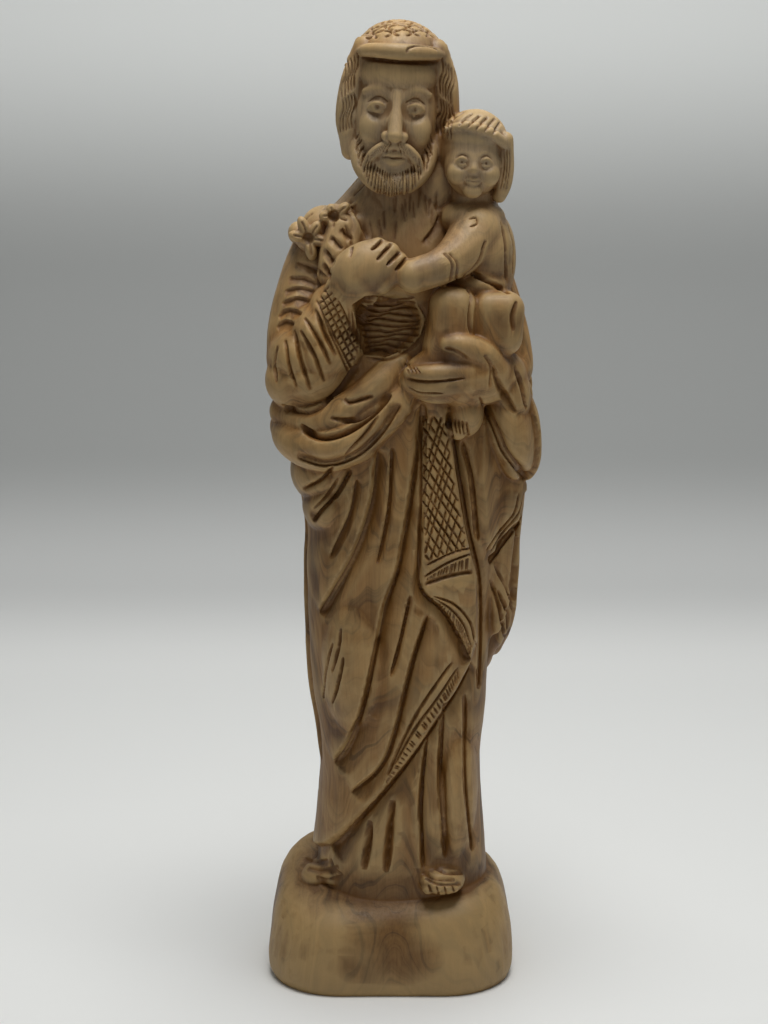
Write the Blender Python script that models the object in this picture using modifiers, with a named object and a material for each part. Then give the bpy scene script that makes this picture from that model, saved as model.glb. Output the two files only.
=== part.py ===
"""Olive-wood carving of a standing bearded saint who carries a child, cut from one block with its plinth.

The clay is built in drawing units and scaled to metres at the end: one unit is 1 mm on a figure that
stands 266.5 mm tall. A place on the front drawing is (x, z) as an eye straight in front sees it, and y is
the depth, negative in front.
"""
import math

import bmesh
import bpy
import numpy as np
from mathutils import Vector
from mathutils.bvhtree import BVHTree

# Driving sizes, in metres
PLINTH_WIDTH = 0.079
PLINTH_DEPTH = 0.061
PLINTH_HEIGHT = 0.0335
PLINTH_CORNER = 0.022
PLINTH_SLOPE = 0.24
FIGURE_HEIGHT = 0.2665

# The drawing: the height of its figure, the line that it stands on, and the eye that it is drawn from
DRAWN_HEIGHT = 266.5
DRAWN_GROUND = 33.5
EYE_DISTANCE = 600.0
EYE_HEIGHT = 270.0
METRES = FIGURE_HEIGHT / DRAWN_HEIGHT

# Fineness of the clay in drawing units, and the triangles kept at the end
ROUGH_VOXEL = 0.8
FINE_VOXEL = 0.62
TRIANGLES_KEPT = 9500
HEADS_FINER = 0.03

WOOD_COLOUR = (0.45, 0.31, 0.18, 1.0)


def spot(x, y, z):
    """The clay point that the eye sees at (x, z) on the drawing, at depth y."""
    nearness = (y + EYE_DISTANCE) / EYE_DISTANCE
    return Vector((x * nearness, y, EYE_HEIGHT + (z - EYE_HEIGHT) * nearness))


class Seat:
    """Where a head sits: its middle, its sideways lean in degrees, and its size."""

    def __init__(self, middle, lean, size):
        self.middle = spot(*middle)
        self.lean = math.radians(lean)
        self.size = size

    def __call__(self, x, y, z):
        c, s = math.cos(self.lean), math.sin(self.lean)
        return self.middle + Vector((x * c + z * s, y, z * c - x * s)) * self.size


SAINT_HEAD = Seat((1.6, -4, 276), 3.5, 1.0)
CHILD_HEAD = Seat((24.8, -12, 259.3), 3.0, 1.0)


def flow(points, per_span):
    """A smooth line through points of any number of coordinates (Catmull-Rom)."""
    p = np.array(points, float)
    if len(p) == 2:
        t = np.linspace(0.0, 1.0, per_span + 1)[:, None]
        return p[0] * (1.0 - t) + p[1] * t
    p = np.vstack([2 * p[0] - p[1], p, 2 * p[-1] - p[-2]])
    line = []
    for a, b, c, d in zip(p, p[1:], p[2:], p[3:]):
        for t in np.arange(per_span) / per_span:
            line.append(0.5 * (2 * b + (c - a) * t + (2 * a - 5 * b + 4 * c - d) * t * t
                               + (3 * b - a - 3 * c + d) * t ** 3))
    line.append(p[-2])
    return np.array(line)


# Lumps of clay

def linked(name, data):
    obj = bpy.data.objects.new(name, data)
    bpy.context.scene.collection.objects.link(obj)
    return obj


def ball(at, radii, turn=(0, 0, 0), seat=spot):
    """An egg at a place on the drawing or on a head, with its three radii and its turn in degrees."""
    bm = bmesh.new()
    bmesh.ops.create_uvsphere(bm, u_segments=24, v_segments=14, radius=1.0)
    mesh = bpy.data.meshes.new("ball")
    bm.to_mesh(mesh)
    bm.free()
    egg = linked("ball", mesh)
    egg.location = seat(*at)
    egg.scale = radii
    egg.rotation_euler = [math.radians(t) for t in turn]
    if seat is not spot:
        egg.rotation_euler.y += seat.lean
        egg.scale = [r * seat.size for r in radii]
    return egg


def limb(stations, seat=spot, per_span=6):
    """A round rod through stations of (x, y, z, radius), with a ball at each end."""
    size = 1.0 if seat is spot else seat.size
    curve = bpy.data.curves.new("limb", "CURVE")
    curve.dimensions = "3D"
    curve.bevel_depth = 1.0
    curve.bevel_resolution = 4
    curve.use_fill_caps = True
    line = flow(stations, per_span)
    spline = curve.splines.new("POLY")
    spline.points.add(len(line) - 1)
    for point, (x, y, z, radius) in zip(spline.points, line):
        point.co = (*seat(x, y, z), 1.0)
        point.radius = radius * size
    ends = [ball(s[:3], (s[3],) * 3, seat=seat) for s in (stations[0], stations[-1])]
    return [linked("limb", curve), *ends]


def both_sides(points):
    """The same stations on the right and on the left of a head."""
    return [[(side * p[0], *p[1:]) for p in points] for side in (1, -1)]


def skinned(rings):
    """A closed tube through rings of points, all with the same count."""
    bm = bmesh.new()
    rings = [[bm.verts.new(point) for point in ring] for ring in rings]
    count = len(rings[0])
    for low, high in zip(rings, rings[1:]):
        for i in range(count):
            j = (i + 1) % count
            bm.faces.new((low[i], low[j], high[j], high[i]))
    bm.faces.new(rings[0][::-1])
    bm.faces.new(rings[-1])
    mesh = bpy.data.meshes.new("tube")
    bm.to_mesh(mesh)
    bm.free()
    return linked("tube", mesh)


def column(sections, square=2.3, count=64, per_span=5):
    """A loft through level sections of (z, left, right, front, back), whose corners get squarer above 2."""
    angles = np.arange(count) * 2 * math.pi / count
    c, s = np.cos(angles), np.sin(angles)
    across = np.sign(c) * np.abs(c) ** (2 / square)
    deep = np.sign(s) * np.abs(s) ** (2 / square)
    rings = []
    for z, left, right, front, back in flow(sections, per_span):
        xs = (left + right) / 2 + across * (right - left) / 2
        ys = (front + back) / 2 + deep * (back - front) / 2
        rings.append([(x, y, z) for x, y in zip(xs, ys)])
    return skinned(rings)


def plinth():
    """The rough block under the feet: upright near the floor, rounded in to a top that slopes up
    to the back."""
    width, depth, height, corner = (size / METRES for size in
                                    (PLINTH_WIDTH, PLINTH_DEPTH, PLINTH_HEIGHT, PLINTH_CORNER))
    floor = DRAWN_GROUND - height
    # Share of the height, and how far the side has come in there
    profile = [(-0.08, 2.2), (0.0, 1.4), (0.08, 0.4), (0.2, 0.0), (0.4, 0.5), (0.6, 1.6), (0.76, 3.1),
               (0.88, 5.3),
               (0.96, 8.6), (1.0, 13.5)]
    rings = []
    for share, inset in flow(profile, 3):
        ring = []
        for sx, sy, start in ((1, 1, 0), (-1, 1, 90), (-1, -1, 180), (1, -1, 270)):
            radius = max(corner - inset * 0.5, 2.0)
            for step in range(9):
                angle = math.radians(start + step * 90 / 8)
                x = sx * (width / 2 - inset - radius) + radius * math.cos(angle)
                y = sy * (depth / 2 - inset - radius) + radius * math.sin(angle)
                rise = y * (PLINTH_SLOPE - 0.0037 * x) * max(share, 0) ** 2
                ring.append((x, y, floor + height * share + rise))
        rings.append(ring)
    return skinned(rings)


def cut_off(obj, point, direction):
    """Takes off what lies beyond a plane and closes the cut."""
    bm = bmesh.new()
    bm.from_mesh(obj.data)
    bmesh.ops.transform(bm, matrix=obj.matrix_world, verts=bm.verts)
    cut = bmesh.ops.bisect_plane(bm, geom=bm.verts[:] + bm.edges[:] + bm.faces[:], dist=1e-5,
                                 plane_co=point, plane_no=direction, clear_outer=True)
    rim = [e for e in cut["geom_cut"] if isinstance(e, bmesh.types.BMEdge)]
    bmesh.ops.edgeloop_fill(bm, edges=rim)
    bm.to_mesh(obj.data)
    bm.free()
    obj.location = (0, 0, 0)
    obj.rotation_euler = (0, 0, 0)
    obj.scale = (1, 1, 1)
    return obj


# Fusing and cutting the clay

def fused(lumps, voxel, smoothing):
    """One closed skin round all the lumps, evened out by so many rounds of smoothing."""
    bpy.context.view_layer.update()
    graph = bpy.context.evaluated_depsgraph_get()
    bm = bmesh.new()
    for lump in lumps:
        mesh = bpy.data.meshes.new_from_object(lump.evaluated_get(graph))
        mesh.transform(lump.matrix_world)
        bm.from_mesh(mesh)
        bpy.data.meshes.remove(mesh)
    for lump in lumps:
        bpy.data.objects.remove(lump)
    mesh = bpy.data.meshes.new("clay")
    bm.to_mesh(mesh)
    bm.free()
    clay = linked("clay", mesh)
    remesh = clay.modifiers.new("skin", "REMESH")
    remesh.mode = "VOXEL"
    remesh.voxel_size = voxel
    if smoothing:
        soften = clay.modifiers.new("soften", "SMOOTH")
        soften.factor = 0.5
        soften.iterations = smoothing
    modifiers_applied(clay)
    return clay


def modifiers_applied(obj):
    bpy.context.view_layer.update()
    mesh = bpy.data.meshes.new_from_object(obj.evaluated_get(bpy.context.evaluated_depsgraph_get()))
    obj.modifiers.clear()
    obj.data = mesh


class Carving:
    """One pass with the gouges over the clay: cuts and lifts are gathered, then made along the
    surface normals."""

    def __init__(self, clay):
        self.clay = clay
        mesh = clay.data
        count = len(mesh.vertices) * 3
        points = np.empty(count, np.float32)
        normals = np.empty(count, np.float32)
        mesh.vertices.foreach_get("co", points)
        mesh.vertex_normals.foreach_get("vector", normals)
        self.points = points.reshape(-1, 3).astype(float)
        self.normals = normals.reshape(-1, 3).astype(float)
        self.cut = np.zeros(len(self.points))
        self.lift = np.zeros(len(self.points))
        bpy.context.view_layer.update()
        self.tree = BVHTree.FromObject(clay, bpy.context.evaluated_depsgraph_get())

    def seen(self, drawn, azimuth=0.0):
        """A line of (x, z) laid on the clay, as drawn from an eye that is turned round the figure."""
        a = math.radians(azimuth)
        eye = Vector((EYE_DISTANCE * math.sin(a), -EYE_DISTANCE * math.cos(a), EYE_HEIGHT))
        hits = []
        for x, z in self.evenly(flow(drawn, 12)):
            toward = Vector((x * math.cos(a), x * math.sin(a), z)) - eye
            hits.append(self.tree.ray_cast(eye, toward.normalized()))
        return self.found(hits)

    def wrapped(self, marks, axis=(3.0, 0.0)):
        """A line of (angle from the front, z) laid on the clay from outside, round an upright axis."""
        hits = []
        for angle, z in flow(marks, 12):
            a = math.radians(angle)
            out = Vector((math.sin(a), -math.cos(a), 0))
            hits.append(self.tree.ray_cast(Vector((*axis, z)) + out * 120, -out))
        return self.found(hits)

    def ahead(self, seat, marks):
        """Lays a line of (x, z) in a head's own measures on it, from straight in front."""
        hits = [self.tree.ray_cast(seat(x, -50, z), Vector((0, 1, 0)), 60) for x, z in flow(marks, 8)]
        return self.found(hits)

    @staticmethod
    def evenly(line, spacing=1.2):
        length = np.linalg.norm(np.diff(line, axis=0), axis=1).sum()
        keep = np.linspace(0, len(line) - 1, max(3, int(length / spacing))).round().astype(int)
        return line[np.unique(keep)]

    @staticmethod
    def found(hits):
        hits = [(h[0], h[1]) for h in hits if h[0] is not None]
        return np.array([h[0] for h in hits]), np.array([h[1] for h in hits])

    def groove(self, laid, depth, left, right, lift=(0, 0), ridge=5.0, taper=5.0):
        """A cut along a laid line, with the width of its slope on each hand of a line drawn downward.

        Each hand may also be lifted beside the cut into a rounded fold, ridge wide.
        """
        path, outward = laid
        if len(path) < 2:
            return
        reach = max(left, right, ridge if any(lift) else 0)
        near = np.all((self.points > path.min(0) - reach) & (self.points < path.max(0) + reach), axis=1)
        chosen = np.flatnonzero(near)
        if not len(chosen):
            return
        p = self.points[chosen]
        n = self.normals[chosen]
        best = np.full(len(p), np.inf)
        travel, hand, facing = np.zeros(len(p)), np.zeros(len(p)), np.zeros(len(p))
        steps = np.diff(path, axis=0)
        spans = np.linalg.norm(steps, axis=1)
        starts = np.concatenate([[0.0], np.cumsum(spans)])
        for a, step, span, start, out in zip(path, steps, spans, starts, outward):
            if span < 1e-6 or span > 12:
                continue
            t = np.clip(((p - a) @ step) / span ** 2, 0, 1)
            away = p - (a + t[:, None] * step)
            distance = np.linalg.norm(away, axis=1)
            closer = distance < best
            best = np.where(closer, distance, best)
            travel = np.where(closer, start + t * span, travel)
            hand = np.where(closer, away @ np.cross(step / span, out), hand)
            facing = np.where(closer, n @ out, facing)
        ends = max(min(taper, starts[-1] / 2), 1e-6)
        fade = np.clip(np.minimum(travel, starts[-1] - travel) / ends, 0, 1)
        fade = np.sqrt(fade * (2 - fade)) * (facing > -0.1)
        on_left = hand > 0
        width = np.where(on_left, left, right) * (0.4 + 0.6 * fade)
        slope = np.clip(1 - best / width, 0, 1)
        slope = np.where(width > 2.5, slope ** 1.5, slope)
        self.cut[chosen] = np.maximum(self.cut[chosen], depth * fade * slope)
        if any(lift):
            share = best / ridge
            swell = np.clip(share / 0.2, 0, 1) * np.clip(1 - share, 0, 1) ** 1.3
            raised = np.where(on_left, lift[0], lift[1]) * fade * swell
            self.lift[chosen] = np.maximum(self.lift[chosen], raised)

    def covered(self, outline, azimuth=0.0, soft=1.6):
        """How far each point of the clay lies under a drawn outline: 0 outside it, 1 well inside."""
        a = math.radians(azimuth)
        eye = np.array((EYE_DISTANCE * math.sin(a), -EYE_DISTANCE * math.cos(a), EYE_HEIGHT))
        view = self.points - eye
        along = view @ np.array((-math.sin(a), math.cos(a), 0.0))
        xs = (view @ np.array((math.cos(a), math.sin(a), 0.0))) * EYE_DISTANCE / along
        zs = EYE_HEIGHT + (self.points[:, 2] - EYE_HEIGHT) * EYE_DISTANCE / along
        corners = np.array(outline, float)
        inside = np.zeros(len(xs), bool)
        distance = np.full(len(xs), np.inf)
        for (x0, z0), (x1, z1) in zip(corners, np.roll(corners, -1, axis=0)):
            dx, dz = x1 - x0, z1 - z0
            t = np.clip(((xs - x0) * dx + (zs - z0) * dz) / (dx * dx + dz * dz), 0, 1)
            distance = np.minimum(distance, np.hypot(xs - x0 - t * dx, zs - z0 - t * dz))
            crosses = (z0 > zs) != (z1 > zs)
            inside ^= crosses & (xs < x0 + (zs - z0) / (dz if dz else 1e-9) * dx)
        # The layer dies away where the clay turns from the eye
        facing = -np.sum(self.normals * view, axis=1) / np.linalg.norm(view, axis=1)
        shown = inside * np.clip((facing + 0.2) / 0.3, 0, 1)
        return np.clip(distance / soft, 0, 1) * shown

    def raise_cloth(self, outline, height, azimuth=0.0):
        """Lifts what lies inside a drawn outline, as a layer of cloth over the rest."""
        self.lift = np.maximum(self.lift, height * self.covered(outline, azimuth))

    def sink(self, outline, depth, azimuth=0.0):
        """Hollows out what lies inside a drawn outline."""
        self.cut = np.maximum(self.cut, depth * self.covered(outline, azimuth, 2.2))

    def dent(self, middle, radius, depth):
        """A round hollow pressed into the clay."""
        distance = np.linalg.norm(self.points - np.array(middle), axis=1)
        self.cut = np.maximum(self.cut, depth * np.clip(1 - (distance / radius) ** 2, 0, 1))

    def done(self):
        moved = self.points + self.normals * (self.lift - self.cut)[:, None]
        self.clay.data.vertices.foreach_set("co", moved.astype(np.float32).ravel())
        self.clay.data.update()


# The saint's body and clothes

def robe_lumps():
    lumps = [column([
        (20, -22, 30.5, -20, 21), (33, -23.3, 31, -20.6, 22), (40, -23.4, 30.6, -21.6, 22.4),
        (55, -21.8, 29.3, -23, 22.4), (66, -20.8, 28.6, -23, 22), (76, -21.2, 28.8, -23.3, 22.5),
        (85, -22.3, 29.8, -24, 23), (95, -23.8, 30.4, -24.6, 23.5), (105, -24.6, 30.8, -25, 24),
        (121, -25, 31.5, -25.2, 25), (134, -25.2, 33, -25.4, 25), (146, -24.6, 34, -25.4, 25),
        (156, -26, 35, -25, 25), (166, -28, 36, -24.5, 25), (178, -29, 35, -24, 24.5), (190, -29, 33, -23,
                                                                                        24),
        (205, -28, 31, -19.5, 23), (220, -28, 29, -17, 22), (230, -26.5, 27, -15, 21), (238, -22, 24, -13,
                                                                                        19),
        (245, -15, 20, -11, 16.5), (252, -8.5, 15, -9, 13)])]
    lumps += [
        ball((-9, -10, 104), (12, 16.6, 30)),  # the bent knee
        ball((19, -8, 60), (9, 15.2, 30)),  # the straight leg
        ball((-20.3, -6, 163.5), (9.2, 13.5, 9.5), (0, 10, 0)),  # cloth tucked under the rolls
        ball((-18.2, -7, 153), (7.6, 13.5, 8.5), (0, 20, 0)),
        ball((35.8, -8, 179), (7.7, 14, 18.6), (0, -16, 0)),  # sleeve hanging from the arm that carries
    ]
    # The mantle's end that falls from the carrying arm
    lumps += limb([(34.6, -3, 186, 8), (34.6, -3, 174, 8.4), (33.6, -3, 163, 7.6), (33, -3, 155, 8.1),
                   (31.4, -2, 143, 8), (30.6, -1, 130, 8.2), (29.6, 0, 116, 7.8), (27.2, 0, 106, 6.2),
                   (25, 1, 97, 4)])
    lumps += limb([(33, 6, 190, 9), (30.5, 8, 160, 9), (29, 9, 130, 8.5), (25.5, 9, 104, 7)])
    # Rolls of cloth slung from the waist to the hanging elbow
    lumps += limb([(-31.5, -6, 177, 4.4), (-29, -15, 172.8, 5.2), (-21, -21.5, 169.8, 5.3),
                   (-12.5, -25, 171.8, 4.9),
                   (-5, -26, 177.5, 4.0), (1.5, -25, 184, 3.0), (5, -23, 190, 2.4)])
    lumps += limb([(-32, -9, 181.5, 4), (-26, -17, 178.5, 4.2), (-18, -21, 179, 4.3), (-10, -23.5, 184, 3.8),
                   (-4, -23.5, 189.5, 3.4), (2, -21, 196, 3.0)])
    return lumps


def feet_lumps():
    lumps = [ball((16.2, -17.5, 28), (7.8, 9, 4.6), (0, 6, 0)),
             ball((-24.4, -6, 30.8), (6.3, 7.5, 3.5), (0, -16, 0)),
             ball((-18.6, -8, 29.4), (4.6, 6.5, 2.8), (0, 20, 0))]
    for toe in range(4):
        lumps += [ball((12.0 + toe * 2.9, -23.5 + abs(toe - 1) * 0.9, 24.6 + toe * 0.15), (1.9, 3.6, 1.9))]
    return lumps


def arm_lumps():
    """Both of the saint's arms in their sleeves, the nearer one cut off square at the cuff."""
    sleeve = [ball((-27, -12, 199), (11, 12.5, 11)), ball((-21.5, -13.5, 205.5), (10.6, 12, 10.8)),
              ball((-15, -15.5, 211.8), (10.6, 11, 10.6)), ball((-18.5, -14.5, 200.5), (14.5, 12, 10.5),
                                                                (0, -38, 0))]
    bpy.context.view_layer.update()
    for lump in sleeve:
        cut_off(lump, spot(-14.3, -20, 211.5), (0.87, -0.12, 0.46))
    lumps = limb([(-29.5, -13, 191.5, 9.6), (-22.5, -16, 193, 9.2), (-15, -17.5, 196.5, 6.6),
                  (-8.6, -18.5, 198.6, 2.8)])
    lumps += limb([(-20, -1, 237, 8), (-24.5, -4, 224, 9), (-28, -8, 210, 9.6), (-29, -10, 198, 9.6)])
    lumps += [ball((-27.6, -9, 194), (10.6, 14, 12)), *sleeve]
    lumps += limb([(26, 3, 232, 8), (33, -1, 212, 8), (36, -5, 196, 8), (33, -14, 192.5, 7.2)])
    return lumps


def child_lumps():
    """The child, seated on the saint's hand in a short tunic, one arm across the saint's chest."""
    lumps = [
        ball((27.5, -9, 231), (10.2, 12, 14)),
        ball((24.5, -10, 241), (10.2, 9, 6)),  # shoulders
        ball((33, -8, 229), (5.2, 9, 12.8)),  # far sleeve
        ball((31.6, -8, 210), (7.6, 11, 9)),  # seat
        ball((21, -13, 212), (8, 11, 8)),
        ball((26, -12, 221), (10, 9.5, 5)),
        ball((20, -20, 199.5), (7, 8, 6)),  # calf
        ball((23, -20, 181.5), (5.6, 7, 8)),  # hanging foot
        ball((20.8, -24, 175.6), (2.9, 3.4, 3.2)),
    ]
    for z, wide in ((214.4, 0.0), (210, 0.3), (205.4, 0.0)):  # far thigh, blocked out square
        lumps += limb([(28.8 - wide, -16.5, z, 5.3), (34.9 + wide, -15, z - 0.3, 5.3)])
    for z, y in ((214.6, -21), (208, -22)):  # near thigh
        lumps += limb([(16.9, y, z, 6.0), (20.6, y + 1, z, 6.2)])
    lumps += limb([(16, -23.5, 211, 5.4), (14.6, -25, 203, 4.9), (13, -25, 197.5, 4.4),
                   (8, -25.5, 195.4, 3.0)])
    lumps += limb([(26, -14, 237, 8), (20.5, -20.5, 228.5, 7.4), (13, -25, 223.8, 6.0),
                   (6, -26, 223.4, 5.0)])
    lumps += limb([(25, -7, 242, 7.5), (25, -9, 252, 7)])
    return lumps


def hand_lumps():
    """The hand laid on the chest, and the hand that holds the child."""
    lumps = limb([(-18, -17, 209, 7.2), (-14.5, -20, 215, 7.6), (-10, -22.5, 222.5, 8.2)])
    lumps += [ball((-7.5, -24, 225), (11.5, 6.8, 8.8), (0, -25, 0))]
    for tip, root in (((-4.2, -24.5, 232.0), (-11, -25.5, 227.5)),
                      ((-0.6, -25.2, 230.6), (-8, -26.5, 225.5)),
                      ((1.8, -25.2, 227.8), (-5.0, -27, 223.2)), ((2.6, -24.5, 224.9),
                                                                  (-3.0, -26.5, 220.8))):
        lumps += limb([(*root, 3.2), (*tip, 3.1)])
    lumps += limb([(33, -16, 193.5, 7), (26, -22.5, 193, 7.4), (14, -25.5, 190.8, 6.2),
                   (6.5, -25, 190.8, 4.6)])
    for finger in ([(24, -27.6, 193.8, 3.2), (13, -29.4, 193.2, 2.9), (5.6, -28, 193.6, 2.0)],
                   [(24, -27.4, 189.6, 3.0), (13, -29.0, 188.8, 2.7), (5.0, -27.4, 190.2, 1.9)],
                   [(21, -26, 186.8, 2.6), (13, -27.6, 186.2, 2.2), (7, -26, 187.4, 1.5)]):
        lumps += limb(finger)
    # the thumb, laid over the child's leg
    lumps += limb([(29, -22, 195, 5), (27, -25.5, 199, 4.3), (23.4, -27.8, 202.0, 3.7),
                   (19.4, -28.8, 202.8, 3.1),
                   (16.9, -28.6, 202.4, 2.3)])
    return lumps


# Middle of each open lily, then the ends of its petals as the eye sees them
LILIES = [
    ((-25.2, -12.5, 234.8), [(-31, 236), (-27.8, 241), (-22, 239.6), (-20, 234), (-24.2, 228.6)]),
    ((-17.4, -12.5, 241.6), [(-21.8, 241.6), (-18.8, 245), (-13.2, 245), (-12.4, 240), (-18, 237.4)]),
]


def lily_lumps():
    """Two open lilies and a bud on the shoulder, with the leaf that runs down to the hand."""
    lumps = limb([(-15, -12, 238, 4.6), (-17, -13.5, 231, 4.8), (-18.5, -14.5, 224, 4.2)])
    lumps += limb([(-11, -11, 239, 3.8), (-12.5, -13.5, 233, 3.8)])
    for (x, y, z), tips in LILIES:
        lumps += [ball((x, y + 2, z), (4.0, 4.5, 3.8))]
        for tip_x, tip_z in tips:
            along = math.hypot(tip_x - x, tip_z - z)
            turn = -math.degrees(math.atan2(tip_z - z, tip_x - x))
            lumps += [ball((x * 0.42 + tip_x * 0.58, y - 1.0, z * 0.42 + tip_z * 0.58),
                           (along * 0.5, 1.9, 1.75),
                           (0, turn, 0))]
    lumps += [ball((-28.5, -8, 236.5), (3.0, 3.6, 3.4))]
    return lumps


# The heads, on common proportions: eyes half way up, brow, nose and chin in equal thirds below the hair

def saint_skull_lumps():
    seat = SAINT_HEAD
    lumps = [
        ball((0, 2, 3), (13.4, 16.0, 18), seat=seat),
        ball((0, -3.5, -5), (12.6, 11.8, 18.5), seat=seat),
        ball((0, -5, 7.5), (11.8, 10.2, 9), seat=seat),
        ball((0, -5.5, -18), (10.2, 9.3, 8.8), seat=seat),
        ball((6, -9.5, -8), (5, 5, 6), seat=seat),
        ball((-6, -9.5, -8), (5, 5, 6), seat=seat),
    ]
    for brow in both_sides([(1.8, -13.3, 2.2, 1.3), (5.6, -12.9, 3.3, 1.4), (9.8, -10.4, 1.6, 1.3)]):
        lumps += limb(brow, seat=seat)
    lumps += limb([(0, -13.4, 1.6, 1.7), (0, -15.0, -4.5, 2.0), (0, -16.6, -9.4, 2.3)], seat=seat)
    return lumps


def saint_feature_lumps():
    seat = SAINT_HEAD
    lumps = [ball((0, -17.0, -10.2), (2.3, 2.3, 2.0), seat=seat)]
    for side in (1, -1):
        lumps += [ball((side * 2.4, -15.4, -10.5), (1.6, 2.0, 1.5), seat=seat),
                  ball((side * 5.5, -12.3, -2.2), (3.1, 2.1, 2.0), seat=seat)]
    for lid in both_sides([(2.4, -13.2, -2.8, 0.5), (3.9, -14.0, -1.3, 0.65), (5.6, -14.3, -0.75, 0.75),
                           (7.3, -13.5, -1.3, 0.65), (8.8, -12.2, -2.7, 0.5)]):
        lumps += limb(lid, seat=seat)
    for lid in both_sides([(2.6, -13.2, -3.0, 0.5), (5.5, -13.8, -4.1, 0.6), (8.5, -12.2, -3.0, 0.5)]):
        lumps += limb(lid, seat=seat)
    lumps += [ball((0, -14.4, -15.9), (4.0, 1.5, 0.9), seat=seat),
              ball((0, -14.2, -17.7), (3.4, 1.7, 1.1), seat=seat)]
    for moustache in both_sides([(0.5, -15.6, -13.2, 1.1), (3.2, -15.1, -13.6, 1.5),
                                 (6.3, -13.4, -16.2, 1.6),
                                 (8.2, -11.4, -20.6, 1.5)]):
        lumps += limb(moustache, seat=seat)
    for beard in both_sides([(11.4, -4, -9, 1.8), (11.0, -6, -14, 2.4), (9.0, -9, -19.4, 3.0),
                             (5, -11.6, -23.2, 3.4),
                             (0, -12.8, -24.6, 3.6)]):
        lumps += limb(beard, seat=seat)
    lumps += [ball((0, -12.2, -21.6), (5.0, 2.6, 2.6), seat=seat)]
    return lumps


def saint_hair_lumps():
    seat = SAINT_HEAD
    lumps = [ball((0.5, 5, 2), (16.2, 14.5, 20.5), seat=seat),
             ball((0.2, 1.5, 12), (14.0, 16.0, 11.8), seat=seat)]
    lumps += limb([(-10.2, -5, 14.5, 4), (-12.8, -4.5, 6, 4.0), (-14.2, -4.5, -5, 3.9),
                   (-13.0, -4, -15.5, 2.7)],
                  seat=seat)
    lumps += limb([(10.5, -5, 14.5, 4.2), (13.8, -3.5, 5, 4.3), (14.8, -2, -5, 4.1), (13.5, 0, -15, 3)],
                  seat=seat)
    # The smooth fringe band
    lumps += limb([(-11.6, -7.6, 13.4, 1.7), (-9, -11.4, 13.8, 2.1), (-5, -14.0, 13.8, 2.3),
                   (0, -15.0, 13.8, 2.4),
                   (5, -14.0, 13.9, 2.3), (9, -11.4, 13.9, 2.1), (12, -7.6, 13.8, 1.7)], seat=seat)
    lumps += limb([(1, -2, 240, 11.5), (1.4, -3, 252, 10.5)])
    lumps += [ball((13, -3, 251), (9, 9, 13)), ball((17, -4, 262), (6, 8, 9))]
    return lumps


def child_head_lumps():
    seat = CHILD_HEAD
    lumps = [
        ball((0, 1.5, 2.5), (9.4, 10, 10), seat=seat),
        ball((0, -1.8, -2.4), (8.5, 7.6, 9.4), seat=seat),
        ball((4.1, -5.6, -4.6), (3.8, 3.6, 3.9), seat=seat),
        ball((-4.1, -5.6, -4.6), (3.8, 3.6, 3.9), seat=seat),
        ball((0, -6.6, -9.6), (3.0, 2.6, 2.4), seat=seat),
        ball((0.4, 3, 2.2), (10.6, 9.2, 11.8), seat=seat),
        ball((0, 0.6, 6.3), (9.5, 9.6, 7.6), seat=seat),
    ]
    lumps += limb([(0, -8.2, -0.4, 0.8), (0, -9.3, -3.4, 1.15)], seat=seat)
    for side in (1, -1):
        lumps += [ball((side * 1.1, -8.7, -3.8), (0.75, 1.0, 0.7), seat=seat),
                  ball((side * 3.6, -7.3, -1.3), (2.0, 1.5, 1.35), seat=seat)]
    for lid in both_sides([(1.7, -8.1, -1.6, 0.4), (3.6, -8.7, -0.2, 0.55), (5.6, -7.6, -1.6, 0.4)]):
        lumps += limb(lid, seat=seat)
    lumps += [ball((0, -8.5, -6.5), (2.3, 0.9, 0.5), seat=seat),
              ball((0, -8.3, -7.6), (1.9, 1.0, 0.65), seat=seat)]
    lumps += limb([(-8.4, -4.4, 7.6, 1.3), (-3, -7.9, 8.8, 1.6), (3, -8.0, 7.8, 1.7), (7, -6.0, 5.6, 1.7),
                   (9.2, -3.6, 3.6, 1.8)], seat=seat)
    lumps += limb([(9.0, -3.2, 5.5, 2.4), (9.9, -2.4, -2, 2.4), (9.5, -2.2, -7, 2.3), (8.4, -1.5, -11, 2.0)],
                  seat=seat)
    return lumps


# The cuts that show from a step away

def lay_mantle(clay):
    """The mantle, a layer over the tunic that is open at the right in front, and the stole that
    hangs over it."""
    carving = Carving(clay)
    carving.raise_cloth([(-60, 37), (-20, 39), (-15, 43.5), (-5, 54.5), (3, 64.6), (11, 76.4), (20.5, 91.5),
                         (25.2, 101.4), (27.3, 108), (27.5, 118), (26.6, 129), (25.3, 136), (23.3,
                                                                                             144), (20, 163),
                         (17, 182), (17, 275), (-60, 275)], 1.9)
    carving.raise_cloth([(-60, 103), (-30, 102), (-5, 75), (10, 58), (20, 47), (28, 38), (60, 38), (60, 275),
                         (-60, 275)], 1.9, azimuth=180)
    carving.done()
    carving = Carving(clay)
    carving.raise_cloth([(9, 190), (9.1, 153.4), (8.6, 134.1), (9.8, 124.4), (17.2, 116.2), (25.2, 102),
                         (27.3, 108), (27, 129), (23.3, 143.8), (20, 163), (16.8, 190)], 1.5)
    # The mantle's end below the hanging sleeve
    carving.raise_cloth([(27.2, 184), (27, 160), (28.6, 141), (31.3, 134.6), (36, 141.2), (41.2, 148.6),
                         (43, 157),
                         (42.5, 159), (35.4, 166), (31.8, 174)], 1.3)
    carving.raise_cloth([(31.3, 134.1), (33.5, 130.9), (39.3, 121.1), (38.2, 112.9), (34.1, 104.7),
                         (31.5, 112.9),
                         (30.5, 124)], 1.3)
    carving.done()


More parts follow.
